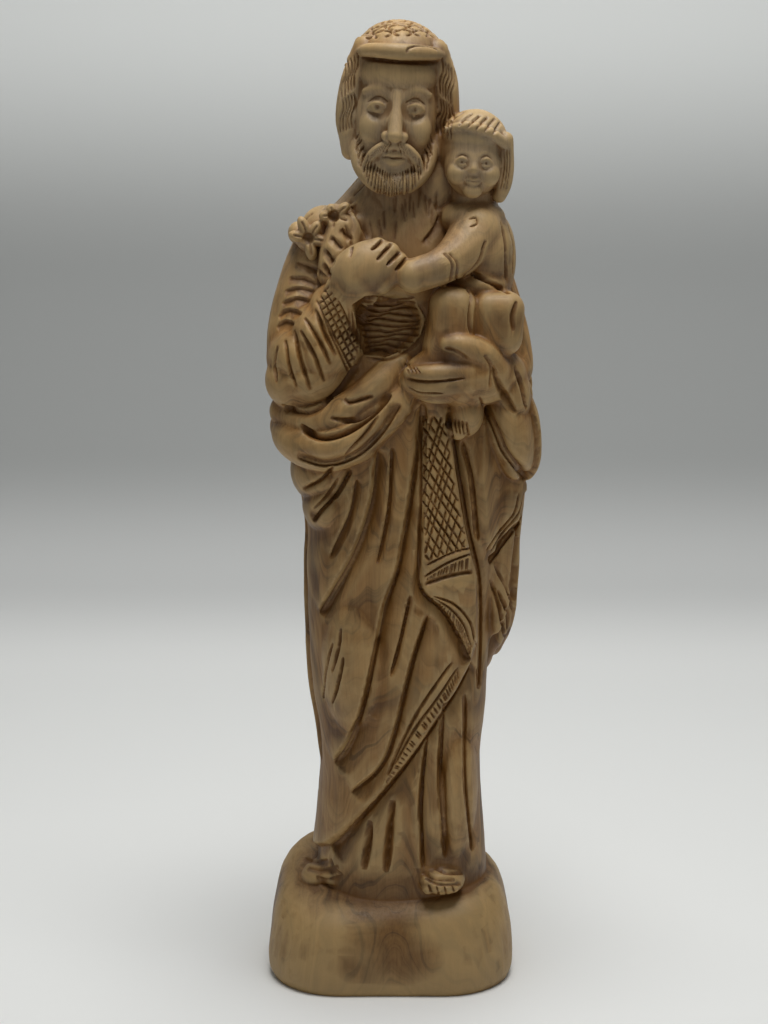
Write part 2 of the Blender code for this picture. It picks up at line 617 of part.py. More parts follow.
def cut_folds(clay):
    carving = Carving(clay)
    cut, seen, wrapped = carving.groove, carving.seen, carving.wrapped
    # Long folds from the gathered waist to the hem
    cut(seen([(9.3, 184), (7.5, 163), (2.9, 134), (-1.9, 118), (-8.3, 88), (-13.1, 75), (-18, 67)]),
        3.6, 1.5, 7.5, (1.0, 0), 8)
    cut(seen([(-4.1, 169), (-6, 153), (-10.4, 139), (-16, 128), (-22.5, 117)]), 3.2, 1.5, 5.0, (1.0, 0), 7)
    cut(seen([(-10.7, 160), (-12.9, 149), (-19.2, 135)]), 1.8, 1.2, 2.4, (0.4, 0), 5)
    cut(seen([(0.3, 170), (-0.6, 153), (-1.9, 144), (-4.4, 133)]), 1.6, 1.1, 2.0)
    cut(seen([(11.5, 116), (6.7, 100), (0.7, 75), (-4.1, 64.6), (-12.6, 57)]), 3.0, 1.4, 6.5, (1.0, 0), 7)
    cut(seen([(6, 122.7), (2.9, 108), (-0.3, 95.8)]), 1.6, 1.1, 1.8)
    for line in ([(-16.5, 112.3), (-17.8, 101.4), (-21.1, 85.5)], [(-19.4, 109), (-22, 91.5), (-21.4, 87)]):
        cut(seen(line), 1.7, 1.3, 1.3)
    # Edges of the mantle over the tunic
    cut(seen([(9.1, 183), (9.1, 153.4), (8.6, 134), (9.5, 124.4), (17.2, 116.2), (25.2, 101.4)]),
        2.4, 4.0, 1.0, taper=2)
    cut(seen([(25.4, 101), (20.7, 91), (11.3, 76), (3.3, 64.2), (-4.8, 54), (-14.6, 43), (-19.5, 38.5)]),
        3.0, 1.1, 7.5, (0.5, 0), 5, taper=2)
    cut(seen([(17.6, 181), (20.8, 163), (24.2, 144), (27.6, 129), (28.4, 112), (28, 92)]), 4.4, 1.4, 3.6,
        taper=8)
    cut(seen([(22.1, 172), (25.2, 160), (27.4, 140)]), 2.2, 1.4, 1.8)
    # Upright folds of the tunic
    cut(seen([(11.6, 77), (9.8, 54.5), (10.5, 31)]), 3.0, 1.4, 3.6, (0.6, 0.3), 4, taper=8)
    cut(seen([(16.7, 87), (15.9, 61), (17.7, 35)]), 3.0, 1.4, 4.0, (0.6, 0.3), 4, taper=8)
    cut(seen([(23.7, 90), (24, 61), (26.4, 37)]), 2.6, 1.4, 3.4, (0.5, 0), 4, taper=8)
    for line in ([(0.7, 54.5), (-0.2, 42.5), (-1.5, 29.8)], [(-6.7, 47.6), (-7.4, 39.1), (-8.7, 30.5)]):
        cut(seen(line), 2.6, 2.0, 1.6, taper=9)
    # Between and under the rolls of cloth
    cut(seen([(2.8, 183.5), (-3.4, 174), (-11.3, 167.2), (-20.6, 164.5), (-29.4, 167)]), 2.6, 4.0, 1.4)
    cut(seen([(-0.3, 187), (-6.6, 180.3), (-14.4, 175), (-22.2, 173.4), (-28.4, 177.2)]), 3.0, 1.6, 2.0)
    cut(seen([(-4.1, 180.3), (-8.1, 174.7), (-14.4, 167.7)]), 1.6, 1.2, 1.4)
    cut(seen([(-5.6, 186.3), (-12.8, 184.4)]), 1.8, 1.4, 1.4)
    cut(seen([(-12.6, 163), (-17, 155.4), (-21.5, 150.6), (-24.6, 146.6)]), 3.0, 3.6, 1.2, taper=2)
    cut(seen([(-16.4, 160.6), (-20.7, 154.4), (-24.4, 150.6)]), 1.7, 1.1, 1.8)
    # The carrying arm's side: hanging sleeve, mantle end and its hem
    cut(seen([(27.2, 186), (31.8, 175.6), (35.4, 167.7), (42, 160)]), 3.2, 1.2, 3.6, taper=2)
    cut(seen([(42.6, 156), (40.9, 147.6), (35.6, 140), (31, 133)]), 2.6, 3.6, 1.1, taper=2)
    cut(seen([(32.5, 132), (37, 124), (38.6, 117)]), 1.8, 1.2, 1.6)
    cut(seen([(31.2, 128), (34.4, 118), (36.4, 108)]), 2.0, 1.2, 1.6)
    # Down the far side and the plain back
    for marks in ([(80, 205), (84, 170), (82, 130), (76, 100)],
                  [(112, 200), (118, 150), (112, 95), (104, 52)],
                  [(146, 215), (152, 150), (160, 90), (172, 50)], [(176, 222), (184, 160), (196, 100),
                                                                   (212, 52)],
                  [(208, 215), (218, 160), (228, 110), (240, 62)], [(240, 205), (250, 150), (258, 100),
                                                                    (268, 58)],
                  [(272, 165), (278, 120), (284, 70)]):
        cut(wrapped(marks), 2.2, 1.8, 5.5, (0.7, 0), 7, taper=18)
    carving.done()


def cut_details(clay):
    """Sleeve gouges, fingers, hair, beard and petals, as large as the facets can carry."""
    carving = Carving(clay)
    # The hollow under the clasped hands
    carving.sink([(-12.2, 214.5), (-8, 217.2), (1.2, 218), (7.3, 215.6), (10.2, 210.5), (8.9, 205.3),
                  (4.3, 200.8),
                  (-1.9, 198.4), (-8.5, 199)], 3.4)
    cut, seen, wrapped = carving.groove, carving.seen, carving.wrapped
    for line in ([(-35.2, 202), (-36.3, 197), (-35.7, 190.4)], [(-32.8, 203.7), (-31.9, 196), (-29.5, 189)],
                 [(-30, 206.8), (-28.2, 197.5), (-25.2, 188.2)], [(-28.1, 206.8), (-24.1, 199),
                                                                  (-20.8, 190.7)],
                 [(-26.8, 210.5), (-22.6, 203.7), (-18.9, 196)], [(-23.4, 213), (-20.4, 205.3),
                                                                  (-17.3, 199)]):
        cut(seen(line), 1.7, 1.3, 1.5)
    cut(seen([(31.5, 195), (36.3, 185), (41.8, 175.5)]), 2.6, 1.9, 2.1, taper=9)
    cut(seen([(37.6, 196), (39.6, 189.7), (41.6, 183)]), 2.0, 1.4, 1.6, taper=7)
    for line in ([(-7.6, 230.4), (-3.4, 234.4)], [(-5.2, 227.6), (-0.2, 232.4)],
                 [(-1.8, 225.2), (3.2, 230)]):
        cut(seen(line), 1.9, 1.0, 1.0, taper=1)
    cut(seen([(23.3, 219.7), (23.7, 213), (24.3, 206.8), (26.2, 202)]), 2.4, 1.4, 2.0)
    for line in ([(33.2, 240), (34.8, 233), (35.2, 222)], [(28.7, 234.3), (26.6, 227.7), (22, 223)]):
        cut(seen(line), 1.8, 1.2, 1.4)
    for row in range(5):
        z = 226 - row * 4.2
        cut(seen([(-29.5 - row * 1.3, z), (-25.5 - row * 1.4, z - 0.4), (-22 - row * 1.2, z - 3)]), 1.6,
            2.0, 1.2)
    # Hair: locks from the crown down the sides and the back
    middle = SAINT_HEAD.middle
    for k in range(17):
        turn = 64 + k * 232 / 16
        marks = [(turn - 10, middle.z + 20), (turn, middle.z + 9), (turn + 7, middle.z - 3),
                 (turn, middle.z - 16)]
        cut(wrapped(marks, (middle.x, middle.y)), 1.4, 1.3, 2.0, taper=3)
    for k in range(-3, 4):
        lock = [(k * 2.6 - 0.8, 21.5 - abs(k) * 0.7), (k * 3.2 + 0.6, 17.4)]
        cut(carving.ahead(SAINT_HEAD, lock), 1.2, 1.0, 1.2, taper=2)
    under_band = [(-11, 11.6), (-7, 11.2), (0, 10.9), (7, 11.2), (11.4, 11.6)]
    cut(carving.ahead(SAINT_HEAD, under_band), 1.6, 1.0, 1.2, taper=2)
    middle = CHILD_HEAD.middle
    for k in range(10):
        turn = 70 + k * 200 / 9
        cut(wrapped([(turn - 6, middle.z + 10), (turn, middle.z + 2), (turn, middle.z - 9)],
                    (middle.x, middle.y)),
            1.0, 1.0, 1.4, taper=2)
    for k in range(4):
        cut(seen([(19.5 + k * 3, 272.3 - k * 0.5), (17.4 + k * 3.2, 268.4 - k * 0.6)]), 0.9, 0.8, 0.9,
            taper=1)
    # Beard: short upright strands round the jaw
    for k in range(11):
        turn = math.radians(-16 - k * 14.8)
        across, down = math.cos(turn), math.sin(turn)
        strand = [(7.0 * across, -16.6 + 4.6 * down), (9.8 * across, -15.8 + 9.0 * down),
                  (11.6 * across, -15.0 + 13.0 * down)]
        cut(carving.ahead(SAINT_HEAD, strand), 1.2, 0.8, 0.9, taper=1.4)
    carving.done()


# Assembly

def build():
    clay = fused(robe_lumps(), ROUGH_VOXEL, 3)
    lay_mantle(clay)
    cut_folds(clay)
    skull = fused(saint_skull_lumps(), ROUGH_VOXEL / 2, 3)
    carving = Carving(skull)
    for side in (1, -1):
        carving.dent(SAINT_HEAD(side * 5.5, -14.8, -2.2), 4.6, 1.35)
    carving.done()
    lumps = [clay, skull, plinth()]
    lumps += feet_lumps() + arm_lumps() + child_lumps() + hand_lumps() + lily_lumps()
    lumps += saint_feature_lumps() + saint_hair_lumps() + child_head_lumps()
    clay = fused(lumps, FINE_VOXEL, 2)
    cut_details(clay)
    return clay


def faceted(clay):
    """The closed solid in metres, with its underside cut flat and no more triangles than are kept."""
    triangles = 2 * len(clay.data.polygons)
    thin = clay.modifiers.new("facets", "DECIMATE")
    thin.decimate_type = "COLLAPSE"
    thin.ratio = TRIANGLES_KEPT / triangles
    # A lower weight makes the collapse spend more triangles on the heads
    weights = clay.vertex_groups.new(name="collapse")
    for vertex in clay.data.vertices:
        weights.add([vertex.index], 0.5 if vertex.co.z > 245 else 1.0, "REPLACE")
    thin.vertex_group = weights.name
    thin.vertex_group_factor = HEADS_FINER
    thin.use_collapse_triangulate = True
    modifiers_applied(clay)
    height = PLINTH_HEIGHT / METRES
    cut_off(clay, (0, 0, DRAWN_GROUND - height), (0, 0, -1))
    bm = bmesh.new()
    bm.from_mesh(clay.data)
    bmesh.ops.translate(bm, verts=bm.verts, vec=(0, 0, height - DRAWN_GROUND))
    bmesh.ops.scale(bm, verts=bm.verts, vec=(METRES,) * 3)
    bmesh.ops.triangulate(bm, faces=bm.faces)
    bmesh.ops.recalc_face_normals(bm, faces=bm.faces)
    bm.to_mesh(clay.data)
    bm.free()
    return clay


def wood():
    material = bpy.data.materials.new("olive_wood")
    material.use_nodes = True
    shader = material.node_tree.nodes["Principled BSDF"]
    shader.inputs["Base Color"].default_value = WOOD_COLOUR
    shader.inputs["Roughness"].default_value = 0.5
    return material


def main():
    for obj in list(bpy.data.objects):
        bpy.data.objects.remove(obj)
    carved = faceted(build())
    carved.name = "carved_saint_and_child"
    carved.data.name = "carved_saint_and_child"
    carved.data.materials.clear()
    carved.data.materials.append(wood())
    for face in carved.data.polygons:
        face.use_smooth = True
    group = bpy.data.collections.new("saint_and_child_carving")
    bpy.context.scene.collection.children.link(group)
    for holder in list(carved.users_collection):
        holder.objects.unlink(carved)
    group.objects.link(carved)


main()
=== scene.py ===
import math
import random
import bmesh
import bpy
import numpy as np
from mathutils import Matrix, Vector
from mathutils.bvhtree import BVHTree


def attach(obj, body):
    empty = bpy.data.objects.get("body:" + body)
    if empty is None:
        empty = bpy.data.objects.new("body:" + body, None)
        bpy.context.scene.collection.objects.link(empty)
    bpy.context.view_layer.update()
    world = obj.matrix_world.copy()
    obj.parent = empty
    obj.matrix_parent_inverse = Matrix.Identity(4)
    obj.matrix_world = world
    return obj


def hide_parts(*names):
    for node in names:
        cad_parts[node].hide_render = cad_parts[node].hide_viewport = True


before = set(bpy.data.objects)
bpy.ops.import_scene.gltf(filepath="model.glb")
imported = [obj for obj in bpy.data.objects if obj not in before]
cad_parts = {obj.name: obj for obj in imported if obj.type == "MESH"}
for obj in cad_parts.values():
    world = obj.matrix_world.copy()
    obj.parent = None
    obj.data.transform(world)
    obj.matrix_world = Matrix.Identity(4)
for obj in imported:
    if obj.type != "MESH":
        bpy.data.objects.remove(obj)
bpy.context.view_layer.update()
bpy.ops.object.select_all(action="DESELECT")
print("frame loaded:", list(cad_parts))

# The carving is drawn in millimetres as an eye in front sees it. x and z are read off that drawing
# at the plane y = 0, and y is the depth, negative towards the front.
drawing = {
    "eyeDistance": 600.0,
    "eyeHeight": 270.0,
    "ground": 33.5,          # the line on the drawing that the figure stands on
    "mm": 0.001,
}
clayWork = {
    "robeVoxel": 0.6,
    "headVoxel": 0.33,
    "limbVoxel": 0.42,
    "fineVoxel": 0.36,
    "triangles": 196000,
    "robeSoftened": 4, "skullSoftened": 14, "childSkullSoftened": 6, "limbsSoftened": 11, "allSoftened": 2,
    "sharpAngle": 50,          # degrees between faces that stay a sharp edge
}
seats = {
    "saint": {"middle": (1.6, -4.0, 276.0), "lean": 3.5},
    "child": {"middle": (24.8, -12.0, 259.3), "lean": 3.0},
}
lumps = []


def spot(x, y, z):
    near = (y + drawing["eyeDistance"]) / drawing["eyeDistance"]
    return Vector((x * near, y, drawing["eyeHeight"] + (z - drawing["eyeHeight"]) * near))


def onHead(who, x, y, z):
    seat = seats[who]
    c, s = math.cos(math.radians(seat["lean"])), math.sin(math.radians(seat["lean"]))
    return spot(*seat["middle"]) + Vector((x * c + z * s, y, z * c - x * s))


def place(at, who=None):
    return onHead(who, *at) if who else spot(*at)


def smoothLine(points, perSpan):
    p = np.array(points, float)
    if len(p) == 2:
        t = np.linspace(0.0, 1.0, perSpan + 1)[:, None]
        return p[0] * (1.0 - t) + p[1] * t
    p = np.vstack([2 * p[0] - p[1], p, 2 * p[-1] - p[-2]])
    line = []
    for a, b, c, d in zip(p, p[1:], p[2:], p[3:]):
        for t in np.arange(perSpan) / perSpan:
            line.append(0.5 * (2 * b + (c - a) * t + (2 * a - 5 * b + 4 * c - d) * t * t
                               + (3 * b - a - 3 * c + d) * t ** 3))
    line.append(p[-2])
    return np.array(line)


# clay

def ball(at, radii, turn=(0, 0, 0), who=None):
    lean = seats[who]["lean"] if who else 0.0
    angles = [math.radians(a) for a in (turn[0], turn[1] + lean, turn[2])]
    bpy.ops.mesh.primitive_uv_sphere_add(segments=28, ring_count=16, radius=1.0, location=place(at, who),
                                         rotation=angles)
    egg = bpy.context.active_object
    egg.scale = radii
    lumps.append(egg)
    return egg


def block(at, size, edge, turn=(0, 0, 0)):
    # a box with its edges well rounded
    bpy.ops.mesh.primitive_cube_add(size=1, location=place(at), rotation=[math.radians(a) for a in turn])
    box = bpy.context.active_object
    box.scale = size
    bpy.ops.object.transform_apply(location=False, rotation=False, scale=True)
    rounding = box.modifiers.new("rounding", "BEVEL")
    rounding.width = edge
    rounding.segments = 5
    lumps.append(box)


def rod(stations, who=None):
    # a round rod whose thickness changes along it, closed by a ball at each end
    line = smoothLine(stations, 6)
    bpy.ops.curve.primitive_nurbs_path_add(location=(0, 0, 0))
    curve = bpy.context.active_object
    data = curve.data
    data.splines.clear()
    spline = data.splines.new("POLY")
    spline.points.add(len(line) - 1)
    for point, (x, y, z, radius) in zip(spline.points, line):
        point.co = (*place((x, y, z), who), 1.0)
        point.radius = radius
    data.bevel_depth = 1.0
    data.bevel_resolution = 5
    data.use_fill_caps = True
    lumps.append(curve)
    for x, y, z, radius in (stations[0], stations[-1]):
        ball((x, y, z), (radius,) * 3, who=who)


def bothSides(points):
    return [[(side * p[0], *p[1:]) for p in points] for side in (1, -1)]


def loft(rings):
    bm = bmesh.new()
    rings = [[bm.verts.new(point) for point in ring] for ring in rings]
    count = len(rings[0])
    for low, high in zip(rings, rings[1:]):
        for i in range(count):
            bm.faces.new((low[i], low[(i + 1) % count], high[(i + 1) % count], high[i]))
    bm.faces.new(rings[0][::-1])
    bm.faces.new(rings[-1])
    mesh = bpy.data.meshes.new("loft")
    bm.to_mesh(mesh)
    bm.free()
    obj = bpy.data.objects.new("loft", mesh)
    bpy.context.scene.collection.objects.link(obj)
    lumps.append(obj)


def pick(objects):
    bpy.ops.object.select_all(action="DESELECT")
    for obj in objects:
        obj.select_set(True)
    bpy.context.view_layer.objects.active = objects[0]


def sliceOff(obj, point, direction):
    # takes off what lies beyond a plane and closes the cut
    pick([obj])
    bpy.ops.object.transform_apply(location=True, rotation=True, scale=True)
    bpy.ops.object.mode_set(mode="EDIT")
    bpy.ops.mesh.select_all(action="SELECT")
    bpy.ops.mesh.bisect(plane_co=point, plane_no=direction, use_fill=True, clear_outer=True)
    bpy.ops.object.mode_set(mode="OBJECT")


def fuse(name, voxel, smoothing):
    # joins every lump in hand and gives them one skin
    pick(lumps)
    bpy.ops.object.convert(target="MESH")
    bpy.ops.object.join()
    clay = bpy.context.active_object
    clay.name = name
    bpy.ops.object.transform_apply(location=True, rotation=True, scale=True)
    lumps.clear()
    skin = clay.modifiers.new("skin", "REMESH")
    skin.mode = "VOXEL"
    skin.voxel_size = voxel
    bpy.ops.object.modifier_apply(modifier=skin.name)
    if smoothing:
        soften = clay.modifiers.new("soften", "SMOOTH")
        soften.factor = 0.5
        soften.iterations = smoothing
        bpy.ops.object.modifier_apply(modifier=soften.name)
    print("  fused", name, len(clay.data.vertices), "points")
    return clay


# gouges

work = {}


def pointsAndNormals(mesh):
    for source, key in ((mesh.vertices, "co"), (mesh.vertex_normals, "vector")):
        values = np.empty(len(mesh.vertices) * 3, np.float32)
        source.foreach_get(key, values)
        yield values.reshape(-1, 3).astype(float)


def readClay(clay):
    work["clay"] = clay
    work["points"], work["normals"] = pointsAndNormals(clay.data)
    bpy.context.view_layer.update()
    work["cut"], work["lift"] = np.zeros((2, len(work["points"])))
    work["tree"] = BVHTree.FromObject(clay, bpy.context.evaluated_depsgraph_get())


def writeClay():
    moved = work["points"] + work["normals"] * (work["lift"] - work["cut"])[:, None]
    work["clay"].data.vertices.foreach_set("co", moved.astype(np.float32).ravel())
    work["clay"].data.update()


def eyeAt(azimuth):
    a = math.radians(azimuth)
    eye = Vector((drawing["eyeDistance"] * math.sin(a), -drawing["eyeDistance"] * math.cos(a),
                  drawing["eyeHeight"]))
    return eye, Vector((math.cos(a), math.sin(a), 0.0))


def keepHits(hits):
    hits = [(h[0], h[1]) for h in hits if h[0] is not None]
    return np.array([h[0] for h in hits]), np.array([h[1] for h in hits])


def seen(drawn, spacing=0.8):
    # a line of (x, z) laid on the clay as the eye in front sees it
    eye, across = eyeAt(0)
    line = smoothLine(drawn, 12)
    length = np.linalg.norm(np.diff(line, axis=0), axis=1).sum()
    keep = np.linspace(0, len(line) - 1, max(4, int(length / spacing))).round().astype(int)
    hits = []
    for x, z in line[np.unique(keep)]:
        toward = across * x + Vector((0, 0, z)) - eye
        hits.append(work["tree"].ray_cast(eye, toward.normalized()))
    return keepHits(hits)


def wrapped(marks):
    # a line of (angle from the front, z) laid on the clay from outside, round the robe's axis
    hits = []
    for angle, z in smoothLine(marks, 14):
        a = math.radians(angle)
        out = Vector((math.sin(a), -math.cos(a), 0))
        hits.append(work["tree"].ray_cast(Vector((robe["axisX"], 0, z)) + out * 120, -out))
    return keepHits(hits)


def fromPoint(middle, marks):
    # a line of (angle round, angle up) laid on the clay from outside, round a point
    hits = []
    for around, up in smoothLine(marks, 12):
        a, e = math.radians(around), math.radians(up)
        out = Vector((math.sin(a) * math.cos(e), -math.cos(a) * math.cos(e), math.sin(e)))
        hits.append(work["tree"].ray_cast(middle + out * 60, -out, 58))
    return keepHits(hits)


def faceLine(who, marks):
    # a line of (x, z) in a head's own measures, laid on it from straight in front
    hits = []
    for x, z in smoothLine(marks, 8):
        hits.append(work["tree"].ray_cast(onHead(who, x, -50, z), Vector((0, 1, 0)), 60))
    return keepHits(hits)


def gouge(laid, depth, left, right, lift=(0, 0), ridge=5.0, taper=5.0, power=1.5):
    # cuts along a laid line. left and right are the slopes' widths on each hand of a line drawn
    # downward, and lift swells the cloth beside the cut on that hand.
    path, outward = laid
    if len(path) < 2:
        return
    reach = max(left, right, ridge if any(lift) else 0)
    points = work["points"]
    low, high = path.min(0) - reach, path.max(0) + reach
    near = (points[:, 2] > low[2]) & (points[:, 2] < high[2])
    near &= (points[:, 0] > low[0]) & (points[:, 0] < high[0])
    near &= (points[:, 1] > low[1]) & (points[:, 1] < high[1])
    chosen = np.flatnonzero(near)
    if not len(chosen):
        return
    p, n = points[chosen], work["normals"][chosen]
    best = np.full(len(p), np.inf)
    travel, hand, facing = np.zeros(len(p)), np.zeros(len(p)), np.zeros(len(p))
    steps = np.diff(path, axis=0)
    spans = np.linalg.norm(steps, axis=1)
    starts = np.concatenate([[0.0], np.cumsum(spans)])
    for a, step, span, start, out in zip(path, steps, spans, starts, outward):
        if span < 1e-6 or span > 9:
            continue
        t = np.clip(((p - a) @ step) / span ** 2, 0, 1)
        away = p - (a + t[:, None] * step)
        distance = np.linalg.norm(away, axis=1)
        closer = distance < best
        best = np.where(closer, distance, best)
        travel = np.where(closer, start + t * span, travel)
        hand = np.where(closer, away @ np.cross(step / span, out), hand)
        facing = np.where(closer, n @ out, facing)
    ends = max(min(taper, starts[-1] / 2), 1e-6)
    fade = np.clip(np.minimum(travel, starts[-1] - travel) / ends, 0, 1)
    fade = np.sqrt(fade * (2 - fade)) * (facing > -0.1)
    onLeft = hand > 0
    width = np.where(onLeft, left, right) * (0.4 + 0.6 * fade)
    slope = np.clip(1 - best / width, 0, 1)
    slope = np.where(width > 2.5, slope ** power, slope)
    work["cut"][chosen] = np.maximum(work["cut"][chosen], depth * fade * slope)
    if any(lift):
        share = best / ridge
        swell = np.clip(share / 0.2, 0, 1) * np.clip(1 - share, 0, 1) ** 1.3
        raised = np.where(onLeft, lift[0], lift[1]) * fade * swell
        work["lift"][chosen] = np.maximum(work["lift"][chosen], raised)


def cut(drawn, *sizes, **options):
    # a gouge cut along a line drawn from the front
    gouge(seen(drawn), *sizes, **options)


def cutAll(lines, *sizes, **options):
    for line in lines:
        cut(line, *sizes, **options)


def cutHead(who, drawn, *sizes, **options):
    gouge(faceLine(who, drawn), *sizes, **options)


def cutRound(middle, marks, *sizes, **options):
    gouge(fromPoint(middle, marks), *sizes, **options)


def insideDrawn(outline, azimuth=0.0):
    # how far each clay point lies inside a drawn outline, and 0 outside it or turned away
    eye, across = eyeAt(azimuth)
    a = math.radians(azimuth)
    sight = work["points"] - np.array(eye)
    along = sight @ np.array((-math.sin(a), math.cos(a), 0.0))
    xs = (sight @ np.array(across)) * drawing["eyeDistance"] / along
    zs = drawing["eyeHeight"] + sight[:, 2] * drawing["eyeDistance"] / along
    corners = np.array(outline, float)
    inside = np.zeros(len(xs), bool)
    distance = np.full(len(xs), np.inf)
    for (x0, z0), (x1, z1) in zip(corners, np.roll(corners, -1, axis=0)):
        dx, dz = x1 - x0, z1 - z0
        t = np.clip(((xs - x0) * dx + (zs - z0) * dz) / (dx * dx + dz * dz), 0, 1)
        distance = np.minimum(distance, np.hypot(xs - x0 - t * dx, zs - z0 - t * dz))
        crosses = (z0 > zs) != (z1 > zs)
        inside ^= crosses & (xs < x0 + (zs - z0) / (dz if dz else 1e-9) * dx)
    facing = -np.sum(work["normals"] * sight, axis=1) / np.linalg.norm(sight, axis=1)
    return distance * inside * np.clip((facing + 0.2) / 0.3, 0, 1)


def raiseCloth(outline, height, azimuth=0.0):
    share = np.clip(insideDrawn(outline, azimuth) / robe["clothEdge"], 0, 1)
    work["lift"] = np.maximum(work["lift"], height * share)


def sinkArea(outline, depth, soft):
    work["cut"] = np.maximum(work["cut"], depth * np.clip(insideDrawn(outline) / soft, 0, 1))


def dent(middle, radius, depth):
    distance = np.linalg.norm(work["points"] - np.array(middle), axis=1)
    work["cut"] = np.maximum(work["cut"], depth * np.clip(1 - (distance / radius) ** 2, 0, 1))


def hatch(outline, lean, pitch):
    # straight strokes that fill an outline, leaning so many degrees from upright
    a = math.radians(lean)
    direction = np.array((math.sin(a), -math.cos(a)))
    normal = np.array((math.cos(a), math.sin(a)))
    corners = np.array(outline, float)
    offsets = corners @ normal
    strokes = []
    for offset in np.arange(offsets.min() + pitch * 0.5, offsets.max(), pitch):
        crossings = []
        for p, q in zip(corners, np.roll(corners, -1, axis=0)):
            a0, a1 = p @ normal - offset, q @ normal - offset
            if (a0 > 0) != (a1 > 0):
                crossings.append((p + (q - p) * a0 / (a0 - a1)) @ direction)
        crossings.sort()
        for start, end in zip(crossings[::2], crossings[1::2]):
            if end - start > 1.5:
                marks = (start, (start + end) / 2, end)
                strokes.append([tuple(normal * offset + direction * mark) for mark in marks])
    return strokes


def ticksAlong(line, other, count, rng):
    # short cuts from one line to another beside it
    a, b = smoothLine(line, 16), smoothLine(other, 16)
    strokes = []
    for k in range(count):
        t = (k + 0.5 + rng.uniform(-0.25, 0.25)) / count
        p, q = a[int(t * (len(a) - 1))], b[int(t * (len(b) - 1))]
        strokes.append([tuple(p), tuple(q)])
    return strokes


# robe, plinth and feet

robe = {
    # height, left, right, front, back of each level section
    "sections": [
        (20, -22, 30.5, -20, 21), (33, -23.3, 31, -20.6, 22), (40, -23.4, 30.6, -21.6, 22.4),
        (55, -21.8, 29.3, -23, 22.4), (66, -20.8, 28.6, -23, 22), (76, -21.2, 28.8, -23.3, 22.5),
        (85, -22.3, 29.8, -24, 23), (95, -23.8, 30.4, -24.6, 23.5), (105, -24.6, 30.8, -25, 24),
        (121, -25, 31.5, -25.2, 25), (134, -25.2, 33, -25.4, 25), (146, -24.6, 34, -25.4, 25),
        (156, -26, 35, -25, 25), (166, -28, 36, -24.5, 25), (178, -29, 35, -24, 24.5),
        (190, -29, 33, -23, 24), (205, -28, 31, -19.5, 23), (220, -28, 29, -17, 22),
        (230, -26.5, 27, -15, 21), (238, -22, 24, -13, 19), (245, -15, 20, -11, 16.5),
        (252, -8.5, 15, -9, 13)],
    "squareness": 2.3, "axisX": 3.0,
    # angle from the front and height along the folds of the far side and back
    "backFolds": [
        [(80, 205), (84, 170), (82, 130), (76, 100)], [(112, 200), (118, 150), (112, 95), (104, 52)],
        [(146, 215), (152, 150), (160, 90), (172, 50)], [(176, 222), (184, 160), (196, 100), (212, 52)],
        [(208, 215), (218, 160), (228, 110), (240, 62)], [(240, 205), (250, 150), (258, 100), (268, 58)],
        [(272, 165), (278, 120), (284, 70)]],
    "mantleThickness": 1.9,
    "stoleThickness": 1.4,
    "panelThickness": 1.2, "clothEdge": 1.2,
}
plinth = {
    "width": 79.0, "depth": 61.0, "height": 33.5, "corner": 22.0, "slope": 0.24, "twist": 0.0037,
    # share of the height, and how far the side has come in there
    "profile": [(-0.08, 2.2), (0.0, 1.4), (0.08, 0.4), (0.2, 0.0), (0.4, 0.5), (0.6, 1.6), (0.76, 3.1),
                (0.88, 5.3), (0.96, 8.6), (1.0, 13.5)],
}


def makeRobe():
    angles = np.arange(72) * 2 * math.pi / 72
    c, s = np.cos(angles), np.sin(angles)
    across = np.sign(c) * np.abs(c) ** (2 / robe["squareness"])
    deep = np.sign(s) * np.abs(s) ** (2 / robe["squareness"])
    rings = []
    for z, left, right, front, back in smoothLine(robe["sections"], 5):
        xs = (left + right) / 2 + across * (right - left) / 2
        ys = (front + back) / 2 + deep * (back - front) / 2
        rings.append([(x, y, z) for x, y in zip(xs, ys)])
    loft(rings)
    ball((-9, -10, 104), (12, 16.6, 30))                       # bent knee
    ball((19, -8, 60), (9, 15.2, 30))                          # straight leg
    ball((-20.3, -6, 163.5), (9.2, 13.5, 9.5), (0, 10, 0))     # cloth tucked under the rolls
    ball((-18.2, -7, 153), (7.6, 13.5, 8.5), (0, 20, 0))
    ball((35.8, -8, 179), (7.7, 14, 18.6), (0, -16, 0))        # hanging sleeve
    rod([(34.6, -3, 186, 8), (34.6, -3, 174, 8.4), (33.6, -3, 163, 7.6), (33, -3, 155, 8.1),
         (31.4, -2, 143, 8), (30.6, -1, 130, 8.2), (29.6, 0, 116, 7.8), (27.2, 0, 106, 6.2), (25, 1, 97, 4)])
    rod([(33, 6, 190, 9), (30.5, 8, 160, 9), (29, 9, 130, 8.5), (25.5, 9, 104, 7)])
    # rolls of cloth slung from the waist to the hanging elbow
    rod([(-31.5, -6, 177, 4.4), (-29, -15, 172.8, 5.2), (-21, -21.5, 169.8, 5.3), (-12.5, -25, 171.8, 4.9),
         (-5, -26, 177.5, 4.0), (1.5, -25, 184, 3.0), (5, -23, 190, 2.4)])
    rod([(-32, -9, 181.5, 4), (-26, -17, 178.5, 4.2), (-18, -21, 179, 4.3), (-10, -23.5, 184, 3.8),
         (-4, -23.5, 189.5, 3.4), (2, -21, 196, 3.0)])
    # near foot with its toes, and the far foot
    ball((16.2, -17.5, 28), (7.8, 9, 4.6), (0, 6, 0))
    for toe in range(4):
        ball((12.0 + toe * 2.9, -23.5 + abs(toe - 1) * 0.9, 24.6 + toe * 0.15), (1.9, 3.6, 1.9))
    ball((-23.4, -4.6, 30.0), (6.4, 7.5, 3.6), (0, -24, 0))
    ball((-18.6, -8, 29.4), (4.8, 6.5, 3.2), (0, 16, 0))


